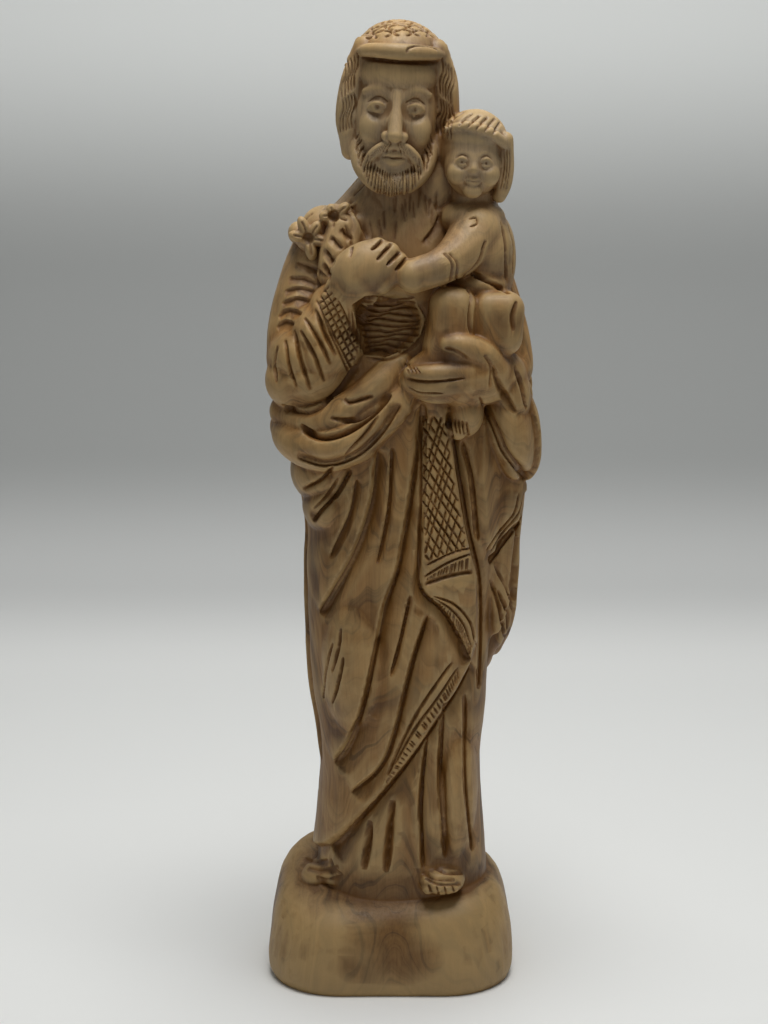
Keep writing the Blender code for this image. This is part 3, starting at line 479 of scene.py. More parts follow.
def makePlinth():
    width, depth, height, corner = (plinth[k] for k in ("width", "depth", "height", "corner"))
    floor = drawing["ground"] - height
    rings = []
    for share, inset in smoothLine(plinth["profile"], 3):
        ring = []
        for sx, sy, start in ((1, 1, 0), (-1, 1, 90), (-1, -1, 180), (1, -1, 270)):
            radius = max(corner - inset * 0.5, 2.0)
            for step in range(9):
                angle = math.radians(start + step * 90 / 8)
                x = sx * (width / 2 - inset - radius) + radius * math.cos(angle)
                y = sy * (depth / 2 - inset - radius) + radius * math.sin(angle)
                rise = y * (plinth["slope"] - plinth["twist"] * x) * max(share, 0) ** 2
                ring.append((x, y, floor + height * share + rise))
        rings.append(ring)
    loft(rings)


def layMantle(clay):
    readClay(clay)
    raiseCloth([(-60, 37), (-20, 39), (-15, 43.5), (-5, 54.5), (3, 64.6), (11, 76.4), (20.5, 91.5),
                (25.2, 101.4), (27.3, 108), (27.5, 118), (26.6, 129), (25.3, 136), (23.3, 144), (20, 163),
                (17, 182), (17, 275), (-60, 275)], robe["mantleThickness"])
    raiseCloth([(-60, 103), (-30, 102), (-5, 75), (10, 58), (20, 47), (28, 38), (60, 38), (60, 275),
                (-60, 275)], robe["mantleThickness"], azimuth=180)
    writeClay()
    readClay(clay)
    raiseCloth([(9, 190), (9.1, 153.4), (8.6, 134.1), (9.8, 124.4), (17.2, 116.2), (25.2, 102), (27.3, 108),
                (27, 129), (23.3, 143.8), (20, 163), (16.8, 190)], robe["stoleThickness"])
    # the mantle's end below the hanging sleeve
    raiseCloth([(27.2, 184), (27, 160), (28.6, 141), (31.3, 134.6), (36, 141.2), (41.2, 148.6), (43, 157),
                (42.5, 159), (35.4, 166), (31.8, 174)], robe["panelThickness"])
    raiseCloth([(31.3, 134.1), (33.5, 130.9), (39.3, 121.1), (38.2, 112.9), (34.1, 104.7), (31.5, 112.9),
                (30.5, 124)], robe["panelThickness"])
    writeClay()


foldLines = []


def fold(line, *sizes, **options):
    foldLines.append(line)
    cut(line, *sizes, **options)


def cutFolds(clay):
    readClay(clay)
    # long folds from the gathered waist to the hem
    fold([(9.3, 184), (7.5, 163), (2.9, 134), (-1.9, 118), (-8.3, 88), (-13.1, 75), (-18, 67)], 3.4, 1.2,
         7.5, (1.0, 0), 8)
    fold([(-4.1, 169), (-6, 153), (-10.4, 139), (-16, 128), (-22.5, 117)], 3.0, 1.2, 5.0, (1.0, 0), 7)
    fold([(-10.7, 160), (-12.9, 149), (-19.2, 135)], 1.7, 0.9, 2.2, (0.4, 0), 5)
    fold([(0.3, 170), (-0.6, 153), (-1.9, 144), (-4.4, 133)], 1.5, 0.9, 1.8)
    fold([(11.5, 116), (6.7, 100), (0.7, 75), (-4.1, 64.6), (-12.6, 57)], 2.8, 1.1, 6.5, (1.0, 0), 7)
    fold([(6, 122.7), (2.9, 108), (-0.3, 95.8)], 1.5, 0.9, 1.6)
    # edges of the mantle over the tunic
    fold([(9.1, 183), (9.1, 153.4), (8.6, 134), (9.5, 124.4), (17.2, 116.2), (25.2, 101.4)], 2.2, 4.0, 0.7,
         taper=2)
    fold([(25.4, 101), (20.7, 91), (11.3, 76), (3.3, 64.2), (-4.8, 54), (-14.6, 43), (-19.5, 38.5)], 2.8,
         0.8, 7.5, (0.5, 0), 5, taper=2)
    fold([(17.6, 181), (20.8, 163), (24.2, 144), (27.6, 129), (28.4, 112), (28, 92)], 4.4, 1.2, 3.6, taper=8)
    fold([(22.1, 172), (25.2, 160), (27.4, 140)], 2.2, 1.2, 1.8)
    # upright folds of the tunic
    fold([(11.6, 77), (9.8, 54.5), (10.5, 31)], 2.8, 1.2, 3.6, (0.6, 0.3), 4, taper=8)
    fold([(16.7, 87), (15.9, 61), (17.7, 35)], 2.8, 1.2, 4.0, (0.6, 0.3), 4, taper=8)
    fold([(23.7, 90), (24, 61), (26.4, 37)], 2.4, 1.2, 3.4, (0.5, 0), 4, taper=8)
    # under the rolls of cloth
    fold([(2.8, 183.5), (-3.4, 174), (-11.3, 167.2), (-20.6, 164.5), (-29.4, 167)], 2.4, 4.0, 1.2)
    fold([(-12.6, 163), (-17, 155.4), (-21.5, 150.6), (-24.6, 146.6)], 3.0, 3.6, 0.9, taper=2)
    fold([(-16.4, 160.6), (-20.7, 154.4), (-24.4, 150.6)], 1.5, 0.8, 1.8)
    fold([(-18.2, 164), (-22, 160), (-27.6, 157)], 1.2, 0.9, 1.8)
    # hanging sleeve, the mantle end below it and its hem
    fold([(27.2, 186), (31.8, 175.6), (35.4, 167.7), (42, 160)], 3.2, 0.9, 3.6, taper=2)
    fold([(42.6, 156), (40.9, 147.6), (35.6, 140), (31, 133)], 2.4, 3.6, 0.8, taper=2)
    # down the far side and the plain back
    for marks in robe["backFolds"]:
        gouge(wrapped(marks), 2.0, 1.4, 5.5, (0.7, 0), 7, taper=18)
    writeClay()


makeRobe()
robeClay = fuse("robeClay", clayWork["robeVoxel"], clayWork["robeSoftened"])
layMantle(robeClay)
cutFolds(robeClay)
print("robe carved")


# heads, on common proportions: eyes half way up, brow, nose and chin in equal thirds below the hair

saintFace = {"eyeOut": 5.5, "eyeUp": -2.2, "socket": 1.35, "mouthUp": -16.7, "pupil": 0.85}
childFace = {"eyeOut": 3.6, "eyeUp": -1.3, "socket": 0.8, "mouthUp": -6.95, "pupil": 0.55}


def makeSaintSkull():
    who = "saint"
    ball((0, 2, 3), (13.4, 16.0, 18), who=who)
    ball((0, -3.5, -5), (12.6, 11.8, 18.5), who=who)
    ball((0, -5, 7.5), (11.8, 10.2, 9), who=who)
    ball((0, -5.5, -18), (10.2, 9.3, 8.8), who=who)
    for side in (1, -1):
        ball((side * 6, -9.5, -8), (5, 5, 6), who=who)
    for brow in bothSides([(2.0, -13.1, 2.0, 1.1), (5.6, -12.5, 3.2, 1.2), (9.6, -10.3, 2.0, 1.0)]):
        rod(brow, who=who)
    rod([(0, -13.4, 1.6, 1.7), (0, -15.0, -4.5, 2.0), (0, -16.6, -9.4, 2.3)], who=who)
    skull = fuse("skull", clayWork["headVoxel"], clayWork["skullSoftened"])
    readClay(skull)
    for side in (1, -1):
        dent(onHead(who, side * saintFace["eyeOut"], -14.8, saintFace["eyeUp"]), 4.6, saintFace["socket"])
    writeClay()
    return skull


def makeSaintFeatures():
    who = "saint"
    ball((0, -17.0, -10.2), (2.3, 2.3, 2.0), who=who)
    for side in (1, -1):
        ball((side * 2.4, -15.4, -10.5), (1.6, 2.0, 1.5), who=who)
        ball((side * saintFace["eyeOut"], -12.3, saintFace["eyeUp"]), (2.8, 2.0, 1.8), who=who)
    for lid in bothSides([(2.9, -13.2, -2.9, 0.35), (4.1, -13.9, -1.6, 0.5), (5.6, -14.2, -1.15, 0.6),
                          (7.1, -13.5, -1.6, 0.5), (8.4, -12.3, -2.7, 0.35)]):
        rod(lid, who=who)
    for lid in bothSides([(3.1, -13.2, -3.0, 0.32), (5.5, -13.75, -3.6, 0.42), (8.2, -12.2, -2.9, 0.32)]):
        rod(lid, who=who)
    for lip in bothSides([(0, -15.0, -15.9, 0.75), (1.3, -15.1, -15.6, 0.85), (3.9, -13.8, -16.5, 0.5)]):
        rod(lip, who=who)
    rod([(-3.1, -14.2, -17.3, 0.6), (0, -14.9, -17.9, 1.1), (3.1, -14.2, -17.3, 0.6)], who=who)
    ball((0, -13.6, -14.0), (2.6, 1.9, 2.4), who=who)
    for moustache in bothSides([(0.5, -15.6, -13.2, 1.0), (3.2, -15.1, -13.6, 1.5), (6.3, -13.4, -16.2, 1.6),
                                (8.2, -11.4, -20.6, 1.5)]):
        rod(moustache, who=who)
    for beard in bothSides([(11.4, -4, -9, 1.8), (11.0, -6, -14, 2.4), (9.0, -9, -19.4, 3.0),
                            (5, -11.6, -23.2, 3.4), (0, -12.8, -24.6, 3.6)]):
        rod(beard, who=who)
    ball((0, -12.2, -21.6), (5.0, 2.6, 2.6), who=who)


def makeSaintHair():
    who = "saint"
    ball((0.5, 5, 2), (16.2, 14.5, 20.5), who=who)
    ball((0.2, 1.5, 12), (14.0, 16.0, 11.8), who=who)
    rod([(-10.2, -5, 14.5, 4), (-12.8, -4.5, 6, 4.0), (-14.2, -4.5, -5, 3.9), (-13.0, -4, -15.5, 2.7)],
        who=who)
    rod([(10.5, -5, 14.5, 4.2), (13.8, -3.5, 5, 4.3), (14.8, -2, -5, 4.1), (13.5, 0, -15, 3)], who=who)
    # the smooth fringe band
    rod([(-11.6, -7.6, 13.4, 1.7), (-9, -11.4, 13.8, 2.1), (-5, -14.0, 13.8, 2.3), (0, -15.0, 13.8, 2.4),
         (5, -14.0, 13.9, 2.3), (9, -11.4, 13.9, 2.1), (12, -7.6, 13.8, 1.7)], who=who)
    rod([(1, -2, 240, 11.5), (1.4, -3, 252, 10.5)])            # neck
    ball((13, -3, 251), (9, 9, 13))                            # block left between the heads
    ball((17, -4, 262), (6, 8, 9))


def makeChildHead():
    who = "child"
    ball((0, 1.5, 2.5), (9.4, 10, 10), who=who)
    ball((0, -1.8, -2.4), (8.6, 7.6, 9.4), who=who)
    ball((0, -6.6, -9.6), (3.0, 2.6, 2.4), who=who)
    for side in (1, -1):
        ball((side * 4.1, -5.6, -4.6), (3.8, 3.6, 3.9), who=who)
    skull = fuse("childSkull", clayWork["headVoxel"], clayWork["childSkullSoftened"])
    readClay(skull)
    for side in (1, -1):
        dent(onHead(who, side * childFace["eyeOut"], -9.2, childFace["eyeUp"]), 2.9, childFace["socket"])
    writeClay()
    return skull


def makeChildFeatures():
    who = "child"
    rod([(0, -8.2, -0.4, 0.7), (0, -9.3, -3.4, 1.1)], who=who)
    for side in (1, -1):
        ball((side * 1.1, -8.7, -3.8), (0.75, 1.0, 0.7), who=who)
        ball((side * childFace["eyeOut"], -7.3, childFace["eyeUp"]), (2.0, 1.4, 1.3), who=who)
    for lid in bothSides([(1.7, -8.1, -1.6, 0.32), (3.6, -8.7, -0.2, 0.45), (5.6, -7.6, -1.6, 0.32)]):
        rod(lid, who=who)
    for lid in bothSides([(1.8, -8.1, -1.8, 0.3), (3.6, -8.6, -2.5, 0.36), (5.5, -7.6, -1.8, 0.3)]):
        rod(lid, who=who)
    for lip in bothSides([(0, -8.9, -6.55, 0.42), (0.8, -8.9, -6.4, 0.46), (2.2, -8.3, -6.8, 0.3)]):
        rod(lip, who=who)
    rod([(-1.7, -8.4, -7.3, 0.4), (0, -8.8, -7.6, 0.62), (1.7, -8.4, -7.3, 0.4)], who=who)
    # hair: cap, side-swept fringe and the lock on the far side
    ball((0.4, 3, 2.2), (10.6, 9.2, 11.8), who=who)
    ball((0, 0.6, 6.3), (9.5, 9.6, 7.6), who=who)
    rod([(-8.4, -4.4, 7.6, 1.3), (-3, -7.9, 8.8, 1.5), (3, -8.0, 7.8, 1.6), (7, -6.0, 5.6, 1.6),
         (9.2, -3.6, 3.6, 1.8)], who=who)
    rod([(9.0, -3.2, 5.5, 2.4), (9.9, -2.4, -2, 2.4), (9.5, -2.2, -7, 2.3), (8.4, -1.5, -11, 2.0)], who=who)


# arms, hands and child

sleeve = {
    "cuffPoint": (-14.3, -20, 211.5), "cuffNormal": (0.87, -0.12, 0.46),
    # middle, radii and turn of the balls that puff the sleeve out
    "puffs": [((-27, -12, 199), (11, 12.5, 11), 0), ((-21.5, -13.5, 205.5), (10.6, 12, 10.8), 0),
              ((-15, -15.5, 211.8), (10.6, 11, 10.6), 0), ((-18.5, -14.5, 200.5), (14.5, 12, 10.5), -38)],
}


def makeArms():
    for at, radii, turn in sleeve["puffs"]:
        lump = ball(at, radii, (0, turn, 0))
        sliceOff(lump, spot(*sleeve["cuffPoint"]), sleeve["cuffNormal"])
    # the drooping lower edge of the sleeve
    rod([(-29.5, -13, 191.5, 9.6), (-22.5, -16, 193, 9.2), (-15, -17.5, 196.5, 6.6),
         (-8.6, -18.5, 198.6, 2.8)])
    rod([(-20, -1, 237, 8), (-24.5, -4, 224, 9), (-28, -8, 210, 9.6), (-29, -10, 198, 9.6)])
    ball((-27.6, -9, 194), (10.6, 14, 12))
    rod([(26, 3, 232, 8), (33, -1, 212, 8), (36, -5, 196, 8), (33, -14, 192.5, 7.2)])
    ball((35.6, -10.5, 187.5), (7.6, 11.5, 12), (0, -8, 0))


def makeHands():
    rod([(-18, -17, 209, 7.2), (-14.5, -20, 215, 7.6), (-10, -22.5, 222.5, 8.2)])
    ball((-7.5, -24, 225), (11.5, 6.8, 8.8), (0, -25, 0))
    for tip, root in (((-4.2, -24.5, 232.0), (-11, -25.5, 227.5)),
                      ((-0.6, -25.2, 230.6), (-8, -26.5, 225.5)), ((1.8, -25.2, 227.8), (-5.0, -27, 223.2)),
                      ((2.6, -24.5, 224.9), (-3.0, -26.5, 220.8))):
        rod([(*root, 3.2), (*tip, 3.1)])
    # the hand that holds the child, its thumb laid over the leg
    rod([(33, -16, 193.5, 7), (26, -22.5, 193, 7.4), (14, -25.5, 190.8, 6.2), (6.5, -25, 190.8, 4.6)])
    rod([(34, -14, 193, 7.6), (28, -20, 191.6, 8), (21, -23, 190.2, 7.2)])
    rod([(24, -27.6, 193.8, 3.2), (13, -29.4, 193.2, 2.9), (5.6, -28, 193.6, 2.0)])
    rod([(24, -27.4, 189.6, 3.0), (13, -29.0, 188.8, 2.7), (5.0, -27.4, 190.2, 1.9)])
    rod([(21, -26, 186.8, 2.6), (13, -27.6, 186.2, 2.2), (7, -26, 187.4, 1.5)])
    rod([(30.5, -21, 194, 6.2), (28, -24.5, 198.2, 5.3), (24.2, -27, 201.0, 4.3), (20.4, -28.2, 202.2, 3.5),
         (17.6, -28.2, 202.3, 2.7)])
    ball((23.5, -23, 196.4), (8.5, 6.4, 5.2))


def makeChild():
    ball((27.5, -9, 231), (10.2, 12, 14))
    ball((24.5, -10, 241), (10.2, 9, 6))                       # shoulders
    ball((33, -8, 229), (5.2, 9, 12.8))                        # far sleeve
    # the far thigh and the near one, blocked out square
    block((31.2, -12.6, 209.6), (16.6, 25, 19.2), 5.4, (0, 3, 6))
    block((18.4, -17.2, 210.8), (13.8, 22, 18.4), 5.4, (-5, 5, 0))
    ball((26, -12, 221), (10, 9.5, 5))
    ball((20, -21.5, 200), (7, 8.4, 6.5))                      # calf
    ball((23, -20, 181.5), (5.6, 7, 8))                        # hanging foot
    ball((20.8, -24, 175.6), (2.9, 3.4, 3.2))
    rod([(16.8, -21.5, 209, 5.8), (15.4, -23.2, 203, 5.4), (13, -24.2, 197.8, 4.6), (8, -25.2, 195.4, 3.0)])
    rod([(26, -14, 237, 8), (21.2, -19.6, 230.4, 6.9), (14.6, -24, 226, 5.4), (6.6, -26, 223.3, 5.1)])
    rod([(25, -7, 242, 7.5), (25, -9, 252, 7)])


lilies = [
    # middle, then the ends of the petals as the eye sees them
    ((-25.2, -12.5, 234.8), [(-31, 236), (-27.8, 241), (-22, 239.6), (-20, 234), (-24.2, 228.6)]),
    ((-17.4, -12.5, 241.6), [(-21.8, 241.6), (-18.8, 245), (-13.2, 245), (-12.4, 240), (-18, 237.4)]),
]


def makeLilies():
    rod([(-15, -12, 238, 4.6), (-17, -13.5, 231, 4.8), (-18.5, -14.5, 224, 4.2)])
    rod([(-11, -11, 239, 3.8), (-12.5, -13.5, 233, 3.8)])
    for (x, y, z), tips in lilies:
        ball((x, y + 2, z), (4.0, 4.5, 3.8))
        for tipX, tipZ in tips:
            along = math.hypot(tipX - x, tipZ - z)
            turn = -math.degrees(math.atan2(tipZ - z, tipX - x))
            ball((x * 0.42 + tipX * 0.58, y - 1.0, z * 0.42 + tipZ * 0.58), (along * 0.5, 1.9, 1.75),
                 (0, turn, 0))
    ball((-28.5, -8, 236.5), (3.0, 3.6, 3.4))


skull = makeSaintSkull()
childSkull = makeChildHead()
makeArms()
makeHands()
makeChild()
limbClay = fuse("limbClay", clayWork["limbVoxel"], clayWork["limbsSoftened"])
makePlinth()
makeLilies()
makeSaintFeatures()
makeSaintHair()
makeChildFeatures()
lumps += [robeClay, limbClay, skull, childSkull]
figure = fuse("saintAndChild", clayWork["fineVoxel"], clayWork["allSoftened"])
print("figure assembled")


# knife work

def cutSleevesAndHands():
    cutAll([[(-35.2, 202), (-36.3, 197), (-35.7, 190.4)], [(-32.8, 203.7), (-31.9, 196), (-29.5, 189)],
            [(-30, 206.8), (-28.2, 197.5), (-25.2, 188.2)], [(-28.1, 206.8), (-24.1, 199), (-20.8, 190.7)],
            [(-26.8, 210.5), (-22.6, 203.7), (-18.9, 196)], [(-23.4, 213), (-20.4, 205.3), (-17.3, 199)]],
           1.5, 0.9, 1.1, taper=9)
    cut([(31.3, 195.8), (34.6, 188.5), (38.9, 181.3)], 2.0, 2.2, 1.0, taper=9)
    cut([(38.2, 195.7), (40.8, 189.5), (42.3, 182.5)], 1.8, 2.0, 0.9, taper=7)
    # crossed cuts on the cuff
    cuff = [(-19.6, 221), (-14.4, 212.2), (-9.8, 202.4), (-12.6, 193.5), (-17.6, 204), (-22.8, 215.6)]
    cut([(-23.1, 216), (-17.9, 203.7), (-12.7, 192.8)], 0.8, 0.6, 0.6, taper=3)
    for lean in (28, -52):
        for stroke in hatch(cuff, lean, 2.0):
            cut(stroke, 1.0, 0.62, 0.5, taper=1.0)
    # fingers
    cutAll([[(-6.4, 231.4), (-2.7, 234.6)], [(-4.6, 228.2), (-0.1, 233.6)], [(-1.6, 226.6), (2.8, 231.2)],
            [(1.0, 225), (4.4, 229.0)]], 1.5, 1.0, 0.5, taper=2.2)
    cutAll([[(4.6, 191.8), (9, 190.8), (16, 190.9), (23, 191.8)], [(5.4, 188.8), (9, 187.2), (16, 187.0)]],
           0.9, 0.45, 0.6, taper=4)
    for k in range(4):
        cut([(4.2 + k * 1.1, 196.6 - k * 0.4), (5.4 + k * 1.2, 193.2)], 0.5, 0.35, 0.4, taper=1)
    cut([(28.6, 199), (30.8, 195), (30.4, 189)], 0.8, 0.5, 1.2, taper=3)
    # child: tunic edges, folds and toes
    cut([(23.2, 219.4), (24.6, 217), (24.1, 213.4), (23.8, 209), (24.6, 205.4)], 1.7, 0.6, 1.6, taper=2)
    cut([(38.3, 215.7), (37, 211), (37.4, 206.5)], 1.2, 0.7, 1.4)
    cut([(16.4, 201.0), (20, 199.9), (23.4, 197.6)], 0.8, 0.5, 1.2, taper=2)
    cutAll([[(33.2, 240), (34.8, 233), (35.2, 222)], [(35.6, 239), (37.4, 232), (37.2, 224)],
            [(28.7, 234.3), (26.6, 227.7), (22, 223)]], 1.4, 0.8, 1.0)
    for shift in (0, 1.7):
        cut([(15.8 + shift, 230.4), (18.4 + shift, 227), (18 + shift, 221.8)], 0.6, 0.4, 0.9, taper=1)
    cut([(23.6, 240.6), (25.6, 241), (26, 239.2), (24, 238.4)], 0.7, 0.4, 0.5, taper=1)
    cut([(24.4, 224.2), (30.3, 221.4), (36.2, 217.8)], 1.6, 1.0, 1.2, taper=2)
    for k in range(4):
        cut([(19.4 + k * 1.3, 179.2 - k * 0.3), (20.3 + k * 1.3, 174.4 - k * 0.2)], 0.8, 0.4, 0.45, taper=1)
    # upper arm: a ladder of scooped folds
    cutAll([[(-28.9, 227.6), (-23.8, 225.8), (-19.6, 222.8)], [(-31.2, 222.8), (-26.9, 222.6), (-23, 220.8)],
            [(-32.6, 218.8), (-28.3, 219.7), (-23.4, 218.6)], [(-33.6, 215), (-29.2, 216.5), (-25, 215.6)],
            [(-34.9, 211), (-31.9, 213), (-27.6, 211.8)], [(-35.4, 207.6), (-32.8, 209.4), (-30, 208.6)]],
           1.15, 3.4, 0.9, taper=3.5)


def cutStole(rng):
    field = [(9.9, 180.5), (16.6, 179.5), (19.6, 163), (22.8, 144), (24.4, 138), (17.5, 135.6),
             (11.2, 133.6), (9.6, 150)]
    for lean, pitch in ((36, 2.3), (-17, 2.15)):
        for stroke in hatch(field, lean, pitch):
            slip = rng.uniform(-0.4, 0.4)
            stroke = [(x + slip + rng.uniform(-0.2, 0.2), z) for x, z in stroke]
            cut(stroke, rng.uniform(0.9, 1.35), 0.6, 0.45, taper=1.8)
    cut([(11.4, 132.5), (18.4, 136), (24.8, 138)], 1.0, 0.55, 0.55, taper=2)
    cut([(10.4, 128.6), (18, 133.2), (25.2, 136)], 1.0, 0.55, 0.55, taper=2)
    cut([(10.6, 126), (18.3, 128.6), (25.6, 130)], 1.3, 0.8, 1.4, taper=2)
    for stroke in ticksAlong([(11.4, 128.4), (18.3, 132.4), (25, 135)],
                             [(10.9, 127.0), (17.7, 129.4), (25, 130.9)], 15, rng):
        cut(stroke, 0.6, 0.35, 0.35, taper=0.6)
    # turned hem of the stole
    outer = [(11, 123.2), (17.8, 116.6), (22.4, 109), (25.2, 102.6)]
    inner = [(13.4, 122.4), (20.3, 119.5), (25.1, 113.9), (27.1, 106.4)]
    cut(inner, 1.1, 0.6, 0.6)
    cut([(12.6, 121.8), (18.6, 118.4), (23.2, 112.8), (25.9, 105.4)], 0.9, 0.5, 0.5)
    for stroke in ticksAlong(outer, [(12.4, 121.4), (18.2, 118), (22.8, 112.2), (25.6, 105)], 22, rng):
        cut(stroke, 0.55, 0.35, 0.35, taper=0.6)
    # long hem of the mantle: two lines and a fringe of ticks
    cut([(19.5, 100.7), (9.3, 85.5), (3, 73.1), (-1.2, 62.9)], 1.2, 0.7, 0.8)
    cut([(21.4, 98.8), (15.7, 89.8), (6.8, 77.1), (0.7, 66.3)], 1.2, 0.7, 0.8)
    for stroke in ticksAlong([(21.6, 98.4), (16, 89.4), (7.6, 77), (0.6, 65), (-2, 61)],
                             [(21.8, 95.6), (17.2, 87.2), (9.2, 75.2), (2.2, 64.4), (-1.4, 59.4)], 34, rng):
        cut(stroke, 0.7, 0.4, 0.4, taper=0.8)
    # folds cut into the robe with a small gouge
    cutAll([[(-15.9, 111.8), (-16.9, 104.6), (-18.9, 97.4)], [(-18.6, 107), (-20.6, 99), (-21.6, 88.6)],
            [(-15.2, 102.4), (-16.6, 95), (-18.8, 87)]], 2.3, 1.0, 0.7, taper=7, power=1)
    cutAll([[(0.7, 54.5), (-0.2, 42.5), (-1.5, 29.8)], [(-6.7, 47.6), (-7.4, 39.1), (-8.7, 30.5)]], 2.8, 2.2,
           1.5, taper=10)
    # rolls at the waist
    cut([(-0.3, 187), (-6.6, 180.3), (-14.4, 175), (-22.2, 173.4), (-28.4, 177.2)], 2.6, 1.3, 1.7)
    cut([(-4.1, 180.3), (-8.1, 174.7), (-14.4, 167.7)], 1.3, 0.8, 1.0, taper=7)
    cut([(-5.6, 186.3), (-12.8, 184.4), (-14.6, 185.4)], 1.6, 1.1, 1.1, taper=4)
    cut([(-3.4, 183.5), (-11.2, 178.8), (-19, 179.4)], 1.6, 1.1, 1.2, taper=5)
    cut([(-10.8, 196.3), (-17, 187.6), (-25.5, 181.5), (-34, 183.5)], 1.6, 0.9, 2.6, taper=4)
    # the mantle end on the carrying side
    for shift in (0.0, 1.5):
        cut([(41.6 - shift, 155.5), (40 - shift, 149), (35 - shift, 142.6), (31.5 - shift, 137)], 0.9, 0.5,
            0.5)
    cutAll([[(32.5, 132), (37, 124), (38.4, 118)], [(31.2, 128), (34.4, 118), (36.2, 109)],
            [(33.5, 124.4), (36.8, 117), (37, 111.5)]], 1.4, 0.8, 1.1)
    # toes
    for k in range(4):
        cut([(12.2 + k * 2.6, 24.6 + abs(k - 1.5) * 0.5), (13.2 + k * 2.5, 21.2 + abs(k - 1.5) * 0.8)], 0.8,
            0.45, 0.5, taper=1)
    cutAll([[(10, 29.6), (14, 27.2), (21, 26.8)], [(11, 27.6), (16, 25.2), (23, 25.4)],
            [(14, 31), (18, 29.2), (23.4, 29.2)]], 0.8, 0.5, 1.5, taper=2)
    cutAll([[(-28, 34.6), (-24, 33.4), (-20.4, 34)], [(-26.8, 31.4), (-22, 30.6), (-17.2, 31.8)],
            [(-24.4, 28.2), (-20.4, 27.4), (-16, 28.8)], [(-19.6, 34.5), (-18.4, 31), (-15.6, 28.6)]], 0.7,
           1.9, 0.7, taper=2)


chest = {
    "outline": [(-12.2, 214.5), (-8, 217.2), (1.2, 218), (7.3, 215.6), (10.2, 210.5), (8.9, 205.3),
                (4.3, 200.8), (-1.9, 198.4), (-8.5, 199)],
    "sunk": 3.4, "edge": 2.0,
    "waves": 11, "top": 216.4, "pitch": 1.62, "halfWidth": 9.2, "strips": 4,
}


def cutChest(rng):
    for row in range(chest["waves"]):
        z = chest["top"] - row * chest["pitch"]
        half = chest["halfWidth"] * math.sqrt(max(0.05, 1 - ((row - 4.5) / 7.4) ** 2))
        middle = -0.4 + rng.uniform(-0.4, 0.4)
        wave = [(middle - half + 2 * half * t,
                 z + 0.5 * math.sin(t * 7 + row * 1.3) + rng.uniform(-0.25, 0.25))
                for t in (0, 0.15, 0.3, 0.45, 0.6, 0.8, 1)]
        cut(wave, 0.75, 0.5, 0.75, taper=2, power=1)
    cut([(7.6, 215.2), (10.4, 210.5), (9.1, 205), (4.4, 200.4), (-1.9, 197.9), (-8, 198.6)], 0.7, 0.5, 1.2,
        taper=3)
    for k in range(chest["strips"]):
        x = -13.2 + k * 1.1
        cut([(x, 213.5), (x + 0.5, 206), (x + 0.4, 199.5)], 0.5, 0.4, 0.5)
    # the leaf beside the hand and the folds of the stem
    cutAll([[(-20.4, 231.8), (-17.2, 227.6)], [(-18.4, 235.6), (-14.8, 231.8)],
            [(-15.2, 238), (-11.8, 234.6)], [(-20.8, 227.4), (-18.4, 223.8)]], 1.4, 2.2, 0.6, taper=1.6)
    cutAll([[(-14.1, 238.9), (-12.4, 234), (-12.6, 229)], [(-9.5, 240), (-8.6, 236.6)]], 1.0, 0.7, 0.9)


hair = {
    # height of a row in degrees, curls in it
    "curlRows": [(86, 5), (79, 10), (72, 15), (65, 20), (58.5, 24), (52, 28), (45.5, 31), (39, 34),
                 (32.5, 36)],
    "bandTop": 48, "bandSpan": 66,                             # the smooth fringe band below the curls
    "curlWidth": 3.4,
    "strandRows": [(28, 4), (8, -16), (-12, -36)], "strands": 26,
}


def cutThroat(rng):
    for k in range(16):
        x, z = rng.uniform(-7, 14), rng.uniform(237, 247)
        lean = rng.uniform(-1.0, 1.0)
        cut([(x, z + 3), (x + lean * 0.5, z), (x + lean, z - 3)], 0.45, 1.0, 0.5, taper=2)
    cutAll([[(-13.4, 246), (-9.6, 240), (-7.4, 234.6)], [(15, 243), (13, 238), (9.4, 233.4)]], 0.9, 0.7, 2.6,
           (0.3, 0), 4, taper=3)


